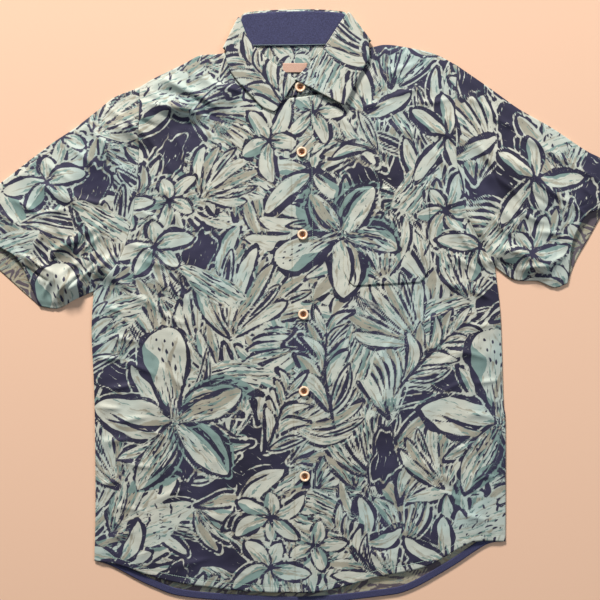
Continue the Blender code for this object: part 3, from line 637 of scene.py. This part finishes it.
# ---- materials ----
def linear(hex_colour):
    """An sRGB hex colour as linear red, green, blue and alpha."""
    parts = [int(hex_colour[i : i + 2], 16) / 255 for i in (1, 3, 5)]
    return [c / 12.92 if c <= 0.04045 else ((c + 0.055) / 1.055) ** 2.4 for c in parts] + [1.0]


def node(tree, kind, links=(), settings=(), **properties):
    """Adds a node, sets its properties and its inputs, and links (input, output socket) pairs to it."""
    made = tree.nodes.new(kind)
    for key, value in properties.items():
        setattr(made, key, value)
    for socket, value in settings:
        made.inputs[socket].default_value = value
    for socket, source in links:
        tree.links.new(source, made.inputs[socket])
    return made


def noise(tree, where, scale, detail):
    """A noise that varies about 0.5, with its scale in cells per metre."""
    settings = [("Scale", scale), ("Detail", detail)]
    return node(tree, "ShaderNodeTexNoise", [("Vector", where)], settings).outputs[0]


def maths(tree, operation, a, b=None, c=None, clamp=False):
    """A Math node on sockets or numbers."""
    made = node(tree, "ShaderNodeMath", operation=operation, use_clamp=clamp)
    for index, value in enumerate((a, b, c)):
        if value is None:
            continue
        if isinstance(value, (int, float)):
            made.inputs[index].default_value = value
        else:
            tree.links.new(value, made.inputs[index])
    return made.outputs[0]


def mixed(tree, share, a, b):
    """A colour mix of sockets or linear colours."""
    made = node(tree, "ShaderNodeMix", data_type="RGBA")
    for index, value in ((0, share), (6, a), (7, b)):
        if isinstance(value, (int, float, list)):
            made.inputs[index].default_value = value
        else:
            tree.links.new(value, made.inputs[index])
    return made.outputs[2]


def material(name, roughness, sheen=0.0, gloss=0.5):
    """A named material and its shader."""
    made = bpy.data.materials.new(name)
    made.use_nodes = True
    shader = made.node_tree.nodes["Principled BSDF"]
    shader.inputs["Roughness"].default_value = roughness
    shader.inputs["IOR"].default_value = 1.47
    shader.inputs["Specular IOR Level"].default_value = gloss
    shader.inputs["Sheen Weight"].default_value = sheen
    shader.inputs["Sheen Roughness"].default_value = 0.5
    return made, made.node_tree, shader


def printed(name, tones, roughness):
    """Rayon shirting printed with three inks, each screen's distance cut at 0 with a rough brush edge."""
    made, tree, shader = material(name, roughness, 0.05, 0.3)
    where = node(tree, "ShaderNodeTexCoord").outputs["Object"]
    ink = node(tree, "ShaderNodeAttribute", attribute_name="ink").outputs["Vector"]
    brushwork = node(tree, "ShaderNodeAttribute", attribute_name="strokes").outputs["Vector"]
    inks = node(tree, "ShaderNodeSeparateXYZ", [(0, ink)]).outputs
    strokes = node(tree, "ShaderNodeSeparateXYZ", [(0, brushwork)]).outputs
    edge = noise(tree, where, 330.0, 2.0)
    brush = noise(tree, where, 95.0, 1.0)
    broad = noise(tree, where, 9.0, 2.0)
    rough = maths(tree, "ADD", maths(tree, "MULTIPLY_ADD", edge, 1.0, -0.5),
                  maths(tree, "MULTIPLY_ADD", brush, 2.2, -1.1))

    def cut(distance, amount=1.0, soft=0.32):
        """Ink from 0 to 1 over a narrow edge of the distance."""
        moved = maths(tree, "MULTIPLY_ADD", rough, amount, distance)
        return maths(tree, "MULTIPLY_ADD", moved, 0.5 / soft, 0.5, clamp=True)

    def dry(pitch, half, shift, gaps, more):
        """Uneven parallel strokes: distance from the nearest line, broken along its length."""
        place = node(tree, "ShaderNodeCombineXYZ", settings=[(2, shift)])
        tree.links.new(maths(tree, "MULTIPLY", strokes[0], 0.13), place.inputs[0])
        tree.links.new(maths(tree, "MULTIPLY", strokes[1], 0.07), place.inputs[1])
        wander = node(tree, "ShaderNodeTexNoise", [("Vector", place.outputs[0])],
                      [("Scale", 1.0), ("Detail", 2.0)]).outputs[0]
        across = maths(tree, "MULTIPLY_ADD", wander, 12.0, strokes[0])
        cell = maths(tree, "FRACT", maths(tree, "MULTIPLY", across, 1 / pitch))
        gap = maths(tree, "MULTIPLY", maths(tree, "ABSOLUTE", maths(tree, "SUBTRACT", cell, 0.5)), pitch)
        distance = maths(tree, "ADD", maths(tree, "SUBTRACT", half, gap), strokes[2])
        return maths(tree, "ADD", distance, maths(tree, "MULTIPLY_ADD", wander, gaps, (more - 0.5) * gaps))

    pale = mixed(tree, maths(tree, "MULTIPLY_ADD", broad, 5.0, -2.3, clamp=True), linear(tones["pale"]),
                 linear(tones["aqua"]))
    khaki = maths(tree, "MAXIMUM", cut(inks[2], 1.6, 0.8), cut(dry(15.0, 2.0, 9.1, 9.0, 0.0), 0.8, 0.9))
    colour = mixed(tree, maths(tree, "MULTIPLY", khaki, 0.75), pale, linear(tones["khaki"]))
    teal = maths(tree, "MAXIMUM", cut(inks[1], 2.0), cut(dry(8.0, 1.7, 3.7, 9.0, 0.0), 1.0))
    colour = mixed(tree, maths(tree, "MULTIPLY", teal, 0.85), colour, linear(tones["teal"]))
    lines = cut(dry(5.2, 0.75, 0.0, 7.0, 0.0), 0.5)
    navy = maths(tree, "ABSOLUTE", maths(tree, "SUBTRACT", cut(inks[0], 0.75), lines))
    depth = mixed(tree, maths(tree, "MULTIPLY_ADD", broad, 3.0, -1.0, clamp=True), linear(tones["navy"]),
                  linear(tones["navy_worn"]))
    colour = mixed(tree, navy, colour, depth)
    tree.links.new(colour, shader.inputs["Base Color"])
    weave(tree, shader, where, 0.45, 0.10)
    return made


def weave(tree, shader, where, pitch, strength):
    """The threads as a fine bump: two crossed waves at the pitch in mm."""
    turns = []
    for way in ("X", "Y"):
        wave = node(tree, "ShaderNodeTexWave", [("Vector", where)],
                    [("Scale", 50.0 / pitch), ("Distortion", 1.5)], bands_direction=way)
        turns.append(wave.outputs["Fac"])
    height = maths(tree, "ADD", turns[0], turns[1])
    bump = node(tree, "ShaderNodeBump", [("Height", height)], [("Strength", strength), ("Distance", 0.0001)])
    ridges = node(tree, "ShaderNodeTexNoise", [("Vector", where)],
                  [("Scale", 17.0), ("Detail", 3.0), ("Distortion", 0.8)], noise_type="RIDGED_MULTIFRACTAL")
    rumples = node(tree, "ShaderNodeBump", [("Height", ridges.outputs[0]), ("Normal", bump.outputs[0])],
                   [("Strength", 0.30), ("Distance", 0.0016)])
    tree.links.new(rumples.outputs[0], shader.inputs["Normal"])


def plain_cloth(name, low, high, roughness, scale):
    """A plain woven cloth whose two thread colours show as fine flecks."""
    made, tree, shader = material(name, roughness, 0.05, 0.3)
    where = node(tree, "ShaderNodeTexCoord").outputs["Object"]
    fleck = noise(tree, where, scale, 3.0)
    share = maths(tree, "MULTIPLY_ADD", fleck, 3.0, -1.0, clamp=True)
    tree.links.new(mixed(tree, share, linear(low), linear(high)), shader.inputs["Base Color"])
    weave(tree, shader, where, 0.5, 0.12)
    return made


def coconut():
    """Coconut shell, pale at the turned rim, brown on the shoulder and dark in the dish; the button's sunk
    holes carry a lower reach, which paints shade into them.
    """
    made, tree, shader = material("coconut shell", 0.35)
    shader.inputs["Coat Weight"].default_value = 0.25
    reach = node(tree, "ShaderNodeAttribute", attribute_name="reach").outputs["Fac"]
    where = node(tree, "ShaderNodeTexCoord").outputs["Object"]
    grain = noise(tree, where, 900.0, 3.0)
    ramp = node(tree, "ShaderNodeValToRGB")
    tree.links.new(maths(tree, "MULTIPLY_ADD", grain, 0.12, maths(tree, "ADD", reach, -0.06)), ramp.inputs[0])
    stops = ((0.0, "#4A2414"), (0.42, "#74401F"), (0.54, "#C08050"), (0.64, "#F2D3B2"), (0.90, "#F4DABD"),
             (1.0, "#D6A176"))
    elements = ramp.color_ramp.elements
    while len(elements) < len(stops):
        elements.new(0.5)
    for element, (position, hex_colour) in zip(elements, stops):
        element.position = position
        element.color = linear(hex_colour)
    tree.links.new(ramp.outputs[0], shader.inputs["Base Color"])
    return made


# rayon takes ink softly, so its navy is worn paler in places and its wrong side is brown and faint
FRONT_TONES = {"pale": "#BFC0B4", "aqua": "#ACBCB7", "khaki": "#8E8674", "teal": "#688582",
               "navy": "#242235", "navy_worn": "#33314A"}
INSIDE_TONES = {"pale": "#A49D88", "aqua": "#A2A595", "khaki": "#8E8169", "teal": "#7D8880",
                "navy": "#544B52", "navy_worn": "#625962"}
RAYON = printed("printed rayon", FRONT_TONES, 0.72)
RAYON_BACK = printed("printed rayon, wrong side", INSIDE_TONES, 0.8)
CHAMBRAY = plain_cloth("navy chambray", "#2E2D48", "#44466A", 0.8, 900.0)
RIBBON = plain_cloth("woven ribbon label", "#B68F7D", "#CFAB98", 0.7, 1500.0)
THREAD = plain_cloth("sewing thread", "#8FA79C", "#A9BCAF", 0.7, 2000.0)
SHELL_MATERIAL = coconut()


# ---- meshes ----
def mesh_of(name, points, faces, materials):
    """An object from points in mm on the table plane and faces, smooth shaded."""
    mesh = bpy.data.meshes.new(name)
    points = (np.asarray(points, float).reshape(-1, 3) - (*MIDDLE, 0)) * MM
    mesh.from_pydata(points.tolist(), [], faces)
    mesh.shade_smooth()
    for entry in materials:
        mesh.materials.append(entry)
    piece = bpy.data.objects.new(name, mesh)
    bpy.context.scene.collection.objects.link(piece)
    return piece


def quads_of(rows, columns, wraps=False):
    """Quads of a grid, facing the side from which rows run down and columns run to the right."""
    index = np.arange(rows * columns).reshape(rows, columns)
    if wraps:
        index = np.concatenate([index, index[:, :1]], axis=1)
    return np.stack([index[1:, :-1], index[1:, 1:], index[:-1, 1:], index[:-1, :-1]], axis=-1).reshape(-1, 4)


def inked(piece, ink, strokes):
    """Stores the screens on the points of a mesh."""
    for name, values in (("ink", ink), ("strokes", strokes)):
        layer = piece.data.attributes.new(name, "FLOAT_VECTOR", "POINT")
        layer.data.foreach_set("vector", np.ascontiguousarray(values, np.float32).ravel())


def cloth(name, grid, materials, offset, thick=SHELL, wraps=False, flip=False):
    """A sheet from a grid of points, made thick by a Solidify modifier; materials holds one for each side."""
    rows, columns = grid.shape[:2]
    faces = quads_of(rows, columns, wraps)
    piece = mesh_of(name, grid, (faces[:, ::-1] if flip else faces).tolist(), materials)
    shell = piece.modifiers.new("cloth", "SOLIDIFY")
    shell.thickness = thick * MM
    shell.offset = offset
    shell.material_offset = 1 if len(materials) > 1 else 0
    return piece


def worn(piece, slot, *nodes):
    """The piece rides the root and stands for its CAD nodes; the slot is not used."""
    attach(piece, "root")
    if nodes:
        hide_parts(*nodes)
    return piece


# ---- pieces ----
def side_of(half, count):
    """The armhole and the side seam as one edge, from the shoulder to the hem."""
    upper_part = round(count * 0.42)
    armhole = smooth(half["armhole"], upper_part)
    return np.vstack([armhole, smooth(half["side"], count - upper_part + 1)[1:]])


def beside(side, top, bottom, offset=0.0):
    """The button edge at the same shares of its height as the rows of a side."""
    share = (side[0, 1] - side[:, 1]) / (side[0, 1] - side[-1, 1])
    level = top + (bottom - top) * share
    return np.stack([placket(level) + offset, level], axis=1)


def seam_line(distance, depth, half=1.4):
    """A soft groove along a line of stitches."""
    return -depth * np.exp(-((distance / half) ** 2))


def rolled(points, left):
    """The grid with its top and its outer side carried round and down to the layer on the table."""
    if left:
        points = points[:, ::-1]
    for axis in (0, 1):
        edge = points[:1] if axis == 0 else points[:, :1]
        inner = points[1:2] if axis == 0 else points[:, 1:2]
        away = (edge - inner) * (1, 1, 0)
        away /= np.linalg.norm(away, axis=-1, keepdims=True)
        turns = [edge * (1, 1, 0) + away * out + edge * (0, 0, 1) * share + (0, 0, 0.5 * (1 - share))
                 for out, share in ((0.1, 0.0), (0.45, 0.35), (0.4, 0.75))]
        points = np.concatenate(turns + [points], axis=axis)
    return points[:, ::-1] if left else points


def front(name, half, rows, columns, offset, lapping):
    """One front: a patch between the neck, the hem, the side and the button edge, lifted to its layer."""
    side = side_of(half, rows)
    edge = beside(side, NECK_Y, HEM_Y, offset)
    if lapping:
        neck = [tuple(edge[0])] + [p for p in LEFT_NECK[::-1] if p[0] > 0]
        split = columns * 2 // 5
        top = np.vstack([smooth(neck, split), smooth(half["shoulder"], columns - split + 1)[1:]])
        hem = smooth([tuple(edge[-1])] + [p for p in FRONT_HEM if p[0] > 0], columns)
        grid = patch(top, hem, edge, side)
        rise = lap(grid)
    else:
        neck = [*RIGHT_NECK, tuple(edge[0])]
        split = columns * 11 // 20
        top = np.vstack([smooth(half["shoulder"], split)[::-1], smooth(neck, columns - split + 1)[1:]])
        hem = smooth([p for p in FRONT_HEM if p[0] < 0] + [tuple(edge[-1])], columns)
        grid = patch(top, hem, side, edge)
        rise = 0.0
    height = upper(grid) + rise
    hem_gap = np.full(grid.shape[:-1], 1e9)
    for a, b in zip(hem[::4], hem[4::4]):
        hem_gap = np.minimum(hem_gap, to_segment(grid, a, b))
    height += seam_line(hem_gap - 9.0, 0.5)
    from_edge = grid[..., 0] - placket(grid[..., 1])
    if lapping:
        height += seam_line(from_edge - 28.0, 0.7) + 0.5 * ease((28.0 - from_edge) / 3.0)
    points = rolled(lifted(grid, height + CLOTH), lapping)
    piece = cloth(name, points, (RAYON, RAYON_BACK), -1.0)
    inked(piece, *draw(points[..., :2], FRONT_PHASE, 7))
    return piece


def sleeve(name, half, phase, seed, mirrored):
    """A flattened tube round its opening, from the armhole to the hem, with one layer over the other."""
    along, across = 104, 104
    top = smooth(half["sleeve_top"], along)
    under = smooth(half["sleeve_under"], along)
    armhole = smooth(half["armhole"], across)
    shown = patch(armhole, smooth(half["hem_upper"], across), top, under)
    hidden = patch(armhole, smooth(half["hem_lower"], across), top, under)
    share = np.linspace(0, 1, along)[:, None]
    hem_gap = (1 - share) * np.linalg.norm(shown[-1] - shown[0], axis=-1)[None]
    height = upper(shown) + CLOTH + seam_line(hem_gap - 20.0, 0.6, 2.0)
    under_layer = lifted(hidden, np.zeros(hidden.shape[:-1]))
    outer = np.concatenate([under_layer, lifted(shown, height)[:, ::-1]], axis=1)
    piece = cloth(name, outer, (RAYON, RAYON_BACK), -1.0, wraps=True, flip=not mirrored)
    inked(piece, *draw(outer[..., :2], phase, seed))
    return piece


def spine(points, per_span):
    """A Catmull-Rom curve in space with the same number of steps in every span."""
    p = np.vstack([2 * points[0] - points[1], points, 2 * points[-1] - points[-2]])
    t = np.linspace(0, 1, per_span + 1)[:-1, None]
    spans = []
    for a, b, c, d in zip(p, p[1:], p[2:], p[3:]):
        spans.append(b + 0.5 * t * (c - a + t * (2 * a - 5 * b + 4 * c - d + t * (3 * (b - c) + d - a))))
    return np.vstack(spans + [p[-2][None]])


def collar_edge(column, height, turn, inner):
    """One edge of the collar as points in space, with a half circle at each side of the neck."""
    edge = []
    for station in COLLAR:
        x, y, z = *station[column], station[height]
        if station[0] != "fold":
            edge.append((x, y, z))
            continue
        outward = math.copysign(1, x)
        ring = []
        for angle in np.radians((90, 45, 0, -45, -90)):
            reach = turn * (math.cos(angle) - 1) - inner
            ring.append((x + outward * reach, y + 0.3 * reach, z + turn * math.sin(angle)))
        edge += ring if x < 0 else ring[::-1]
    return spine(np.array(edge), 14)


def collar():
    """The leaf, rolled over its top edge on a half ellipse, and the stand below it."""
    tip = collar_edge(TIP_XY, LEAF_Z, LEAF_TURN, 0.0)
    roll = collar_edge(ROLL_XY, LEAF_Z, LEAF_TURN, 0.0)
    low_roll = collar_edge(ROLL_XY, STAND_Z, STAND_TURN, STAND_INSIDE)
    seam = collar_edge(SEAM_XY, STAND_Z, STAND_TURN, STAND_INSIDE)
    share = np.linspace(0, 1, 30)[:, None, None]
    leaf = (1 - share) * roll[None] + share * tip[None]
    away = roll - tip
    away /= np.linalg.norm(away, axis=-1, keepdims=True)
    turn = np.linspace(math.pi / 2, 0, 6)[:-1, None, None]
    half_gap = 0.5 * (roll - low_roll)
    bulge = np.linalg.norm(half_gap, axis=-1)[None, :, None]
    fold = (low_roll + half_gap)[None] - half_gap[None] * np.cos(2 * turn)
    fold = fold + away[None] * bulge * np.sin(2 * turn)
    grid = np.concatenate([fold, leaf])
    piece = cloth("leaf", grid, (RAYON,), 0.0, 1.1)
    inked(piece, *draw(grid[..., :2], COLLAR_PHASE, 11))
    worn(piece, "printed_cloth", "collar_leaf")
    rise = np.linspace(0, 1, 16)[:, None, None]
    band = (1 - rise) * low_roll[None] + rise * seam[None]
    band[:, 0:6, 0] += UNDERLAP * (1 - np.linspace(0, 1, 6)) ** 2
    stand = cloth("stand", band, (RAYON,), 0.0, 1.0)
    inked(stand, *draw(band[..., :2], COLLAR_PHASE, 12))
    worn(stand, "printed_cloth", "collar_stand")
    return piece, stand


def inner_stand():
    """The navy chambray face of the stand behind the neck."""
    rows = [s for s in COLLAR if s[0] == "back"]
    low = smooth([(-84, 362), *[(s[1], s[2] - 4) for s in rows], (82, 365)], 90)
    high = smooth([(-80, 402), *[(s[ROLL_XY][0], s[ROLL_XY][1] - 2) for s in rows], (68, 404)], 90)
    share = np.linspace(0, 1, 26)[:, None, None]
    grid = (1 - share) * high[None] + share * low[None]
    height = INNER_STAND_LEVEL + 0.25 * np.sin(grid[..., 0] / 9.0) * np.sin(share[..., 0] * math.pi)
    piece = cloth("inner_stand", lifted(grid, height), (CHAMBRAY,), -1.0)
    return worn(piece, "navy_cloth", "collar_stand_inner")


def back():
    """The panel on the table and the yoke above it, both flat underneath."""
    rows, columns = 200, 170
    right, left = side_of(RIGHT_SIDE, rows), side_of(LEFT_SIDE, rows)
    cut_right = right[right[:, 1] < YOKE_SEAM[0] - SEAM]
    cut_left = left[left[:, 1] < YOKE_SEAM[1] - SEAM]
    right, left = even(cut_right, rows), even(cut_left, rows)
    start = even(np.array([right[0], left[0]]), columns)
    grid = patch(start, smooth(BACK_HEM, columns), right, left)
    height = CLOTH + creases(grid, BACK_CREASES)
    panel = cloth("back", lifted(grid, height), (RAYON_BACK, RAYON), -1.0)
    inked(panel, *draw(grid * (-1, 1), BACK_PHASE, 15))
    worn(panel, "printed_cloth", "back_panel")
    top = np.vstack([smooth(RIGHT_SIDE["shoulder"], 50)[::-1], smooth(BACK_NECK, 70)[1:-1],
                     smooth(LEFT_SIDE["shoulder"], 50)])
    right = smooth(RIGHT_SIDE["armhole"], 200)
    left = smooth(LEFT_SIDE["armhole"], 200)
    right = even(right[right[:, 1] > YOKE_SEAM[0]], 34)
    left = even(left[left[:, 1] > YOKE_SEAM[1]], 34)
    base = even(np.array([right[-1], left[-1]]), len(top))
    grid = patch(top, base, right, left)
    yoke = cloth("outer_yoke", lifted(grid, CLOTH), (RAYON_BACK, RAYON), -1.0)
    inked(yoke, *draw(grid * (-1, 1), YOKE_PHASE, 16))
    worn(yoke, "printed_cloth", "yoke")
    facing_top = top[FACING_CUT:-FACING_CUT].copy()
    facing_top[:, 1] -= 26.0 * ease((abs(facing_top[:, 0]) - 55.0) / 35.0)
    level = np.interp(facing_top[:, 0], (-222, 222), YOKE_SEAM)
    base = np.stack([facing_top[:, 0], level], axis=1)
    ends = [np.linspace(facing_top[k], base[k], 40) for k in (0, -1)]
    grid = patch(facing_top, base, *ends)
    facing = cloth("facing", lifted(grid, 2 * CLOTH + SEAM), (RAYON,), -1.0)
    inked(facing, *draw(grid, FACING_PHASE, 17))
    worn(facing, "printed_cloth_inside", "yoke_facing")
    return panel, yoke, facing


def pocket():
    """A patch pocket with cut bottom corners, on the left front and matched to its print."""
    level = np.linspace(0, 1, 66)
    across = np.linspace(0, 1, 60)
    drop = np.interp(across, (0, 0.06, 0.12, 0.88, 0.94, 1.0), (0.84, 0.95, 1.0, 1.0, 0.95, 0.84))
    x = POCKET_CORNER[0] + POCKET_SIZE[0] * across[None, :] + 0 * level[:, None]
    y = POCKET_CORNER[1] - POCKET_SIZE[1] * drop[None, :] * level[:, None]
    y = y + POCKET_SLOPE * (x - POCKET_CORNER[0])
    grid = np.stack([x, y], axis=-1)
    rim = np.minimum(across, 1 - across)[None] * POCKET_SIZE[0]
    rim = np.minimum(rim, (1 - level[:, None]) * POCKET_SIZE[1])
    height = upper(grid) + 2 * CLOTH + 2 * SEAM - 0.5 * (1 - ease(rim / 3.0))
    height = height + seam_line(rim - 2.5, 0.25, 1.2)
    height = height + seam_line(level[:, None] * POCKET_SIZE[1] - POCKET_HEM, 0.3)
    piece = cloth("patch_pocket", lifted(grid, height), (RAYON, RAYON_BACK), -1.0)
    inked(piece, *draw(grid, FRONT_PHASE, 7))
    return worn(piece, "printed_cloth", "pocket")


def tape():
    """The navy tape along the inside of the back hem."""
    hem = smooth(BACK_HEM, 220)[4:-4]
    way = np.gradient(hem, axis=0)
    up = np.stack([-way[:, 1], way[:, 0]], axis=1) / np.linalg.norm(way, axis=1, keepdims=True)
    share = np.linspace(1, 0, 7)[:, None, None]
    grid = hem[None] + up[None] * (SEAM + share * (TAPE_WIDTH - SEAM))
    piece = cloth("tape", lifted(grid, TAPE_LEVEL), (CHAMBRAY,), -1.0)
    return worn(piece, "navy_cloth", "back_hem_tape")


def neck_label():
    """A plain woven label, slightly bowed."""
    left, right, top, bottom = LABEL_BOX
    x, y = np.meshgrid(np.linspace(left, right, 36), np.linspace(top, bottom, 16))
    grid = np.stack([x, y], axis=-1)
    height = LABEL_LEVEL + 0.25 * np.sin((x - left) / (right - left) * math.pi)
    piece = cloth("woven_label", lifted(grid, height), (RIBBON,), -1.0, 0.5)
    return worn(piece, "label", "neck_label")


def button(number, x, y, z):
    """A turned disc: a profile of radius and height turned round, with four holes sunk in its dish."""
    flat = np.zeros((len(BUTTON_PROFILE), 1))
    fine = spine(np.hstack([BUTTON_PROFILE, flat]), 4)[:, :2]
    fine[:, 0] = fine[:, 0].clip(0, 1.0)
    turn = np.linspace(0, 2 * math.pi, 65)[:-1]
    radius, height = fine[:, 0] * BUTTON_RADIUS, fine[:, 1] * BUTTON_HEIGHT
    px = radius[:, None] * np.cos(turn)[None]
    py = radius[:, None] * np.sin(turn)[None]
    pz = height[:, None] + 0 * px
    sunk = np.zeros(px.shape)
    holes, out, hole, depth = BUTTON_HOLES
    for k in range(holes):
        angle = 2 * math.pi * (k + 0.5) / holes
        gap = np.hypot(px - out * math.cos(angle), py - out * math.sin(angle))
        sunk += 1 - ease((gap - hole) / 0.6)
    pz = pz - depth * sunk * (height > 0.5 * BUTTON_HEIGHT)[:, None]
    grid = np.stack([px + x, py + y, pz + z], axis=-1)
    faces = quads_of(*grid.shape[:2], wraps=True)[:, ::-1].tolist()
    piece = mesh_of(f"shell_button_{number}", grid, faces, (SHELL_MATERIAL,))
    layer = piece.data.attributes.new("reach", "FLOAT", "POINT")
    # the sunk holes lower the reach by half their depth share, so they come out darker: painted shade in the
    # holes
    values = (np.hypot(px, py) / BUTTON_RADIUS - 0.5 * sunk).clip(0, 1)
    values = np.where(pz > 0.3 * BUTTON_HEIGHT, values, 0.7)
    layer.data.foreach_set("value", values.astype(np.float32).ravel())
    piece.data.validate()
    return worn(piece, "button", f"button_{number}")


def bars(points, ways, length, width, height):
    """Short raised bars, one at each point along its way: the middles of a row of stitches."""
    ways = ways / np.linalg.norm(ways, axis=1, keepdims=True)
    aside = np.stack([-ways[:, 1], ways[:, 0], 0 * ways[:, 0]], axis=1)
    along = 0.5 * length
    corners = []
    half = 0.5 * width
    for u, v, w in ((-along, -half, 0), (along, -half, 0), (along, half, 0), (-along, half, 0),
                    (-0.6 * along, 0, height), (0.6 * along, 0, height)):
        corners.append(points + ways * u + aside * v + (0, 0, w))
    corners = np.stack(corners, axis=1)
    base = 6 * np.arange(len(points))[:, None]
    quads = np.concatenate([base + (0, 1, 5, 4), base + (2, 3, 4, 5)])
    ends = np.concatenate([base + (1, 2, 5, 5), base + (3, 0, 4, 4)])[:, :3]
    return corners.reshape(-1, 3), quads.tolist() + ends.tolist()


def stitches():
    """Rows of topstitching on the upper layer and along the stand's seam, each bar lying on the cloth."""
    level = np.arange(288, -396, -STITCH_STEP)
    hem = smooth(FRONT_HEM, 220)[3:-3] + (0, 9.0)
    rows = [(np.stack([placket(level) + 28.0, level], 1), 1.0), (hem, hem[:, 0] > placket(hem[:, 1]))]
    for half, way in ((RIGHT_SIDE, -1), (LEFT_SIDE, 1)):
        rows.append((smooth(half["armhole"], 96)[3:-2] - (way * 5.0, 0), 0.0))
    chains = [lifted(flat, upper(flat) + CLOTH + lap(flat) * lapping - 0.35) for flat, lapping in rows]
    chains.append(lifted(smooth([(-82, 364), (-60, 365.5), (0, 366), (50, 367), (80, 367)], 76), 3.85))
    points, faces = [], []
    for chain in chains:
        corners, quads = bars(chain, np.gradient(chain, axis=0), *STITCH)
        start = sum(map(len, points))
        points.append(corners)
        faces += [[start + i for i in face] for face in quads]
    piece = mesh_of("stitches", np.concatenate(points), faces, (THREAD,))
    piece.data.shade_flat()
    return worn(piece, "printed_cloth")


def build():
    """All the pieces of the shirt."""
    right = front("right_front", RIGHT_SIDE, 330, 138, OVERLAP, False)
    worn(right, "printed_cloth", "front_right")
    left = front("left_front", LEFT_SIDE, 330, 138, 0.0, True)
    worn(left, "printed_cloth", "front_left")
    sleeve_right = sleeve("right_sleeve", RIGHT_SIDE, RIGHT_SLEEVE_PHASE, 21, False)
    worn(sleeve_right, "printed_cloth", "sleeve_right")
    sleeve_left = sleeve("left_sleeve", LEFT_SIDE, LEFT_SLEEVE_PHASE, 22, True)
    worn(sleeve_left, "printed_cloth", "sleeve_left")
    panel, yoke, facing = back()
    leaf, stand = collar()
    inner = inner_stand()
    patch_pocket = pocket()
    hem_tape = tape()
    tag = neck_label()
    places = [TOP_BUTTON]
    for y in BUTTON_LEVELS:
        spot = np.array([[placket(y) + BUTTON_LINE, y]])
        z = float((upper(spot, False) + lap(spot))[0]) + CLOTH + 2 * SEAM
        places.append((*spot[0], z))
    for number, place in enumerate(places, 1):
        button(number, *place)
    thread = stitches()


build()


# ---- stage: sizes in metres, power in watts ----
FLOOR_SIZE, FLOOR_DROP, FLOOR_COLOUR = 24, 0.0005, "#E9C1A6"
LIGHTS = (  # name, place, size, power, colour
    ("window", (-1.1, 3.6, 1.9), 0.7, 306, (1.0, 0.96, 0.90)),
    ("fill", (2.4, 0.8, 2.4), 2.0, 34, (0.80, 0.90, 1.0)),
)
ROOM_COLOUR, ROOM_STRENGTH = (0.92, 0.97, 1.0, 1), 0.17
CAMERA_HEIGHT, VIEW_WIDTH, VIEW_MIDDLE, SENSOR = 1.5, 0.84, (0.0141, 0.0096), 36.0


def studio():
    """A plain pale floor, soft light from beyond the collar and the camera straight above."""
    bpy.ops.mesh.primitive_plane_add(size=FLOOR_SIZE, location=(0, 0, -FLOOR_DROP))
    floor = bpy.context.object
    floor.name = "floor"
    made, _, shader = material("floor", 0.9, gloss=0.0)
    shader.inputs["Base Color"].default_value = linear(FLOOR_COLOUR)
    floor.data.materials.append(made)
    for name, place, size, power, colour in LIGHTS:
        light = bpy.data.lights.new(name, "AREA")
        light.size = size
        light.energy = power
        light.color = colour
        lamp = bpy.data.objects.new(name, light)
        lamp.location = place
        lamp.rotation_euler = aim(place)
        bpy.context.scene.collection.objects.link(lamp)
    world = bpy.data.worlds.new("room")
    world.use_nodes = True
    background = world.node_tree.nodes["Background"]
    background.inputs[0].default_value = ROOM_COLOUR
    background.inputs[1].default_value = ROOM_STRENGTH
    bpy.context.scene.world = world
    lens = bpy.data.cameras.new("camera")
    camera = bpy.data.objects.new("camera", lens)
    lens.sensor_width = SENSOR
    lens.lens = SENSOR * CAMERA_HEIGHT / VIEW_WIDTH
    camera.location = (*VIEW_MIDDLE, CAMERA_HEIGHT)
    bpy.context.scene.collection.objects.link(camera)
    bpy.context.scene.camera = camera
    bpy.context.scene.view_settings.view_transform = "Standard"


def aim(place):
    """The turn that points a lamp at the middle of the shirt."""
    return (-Vector(place)).to_track_quat("-Z", "Y").to_euler()


studio()
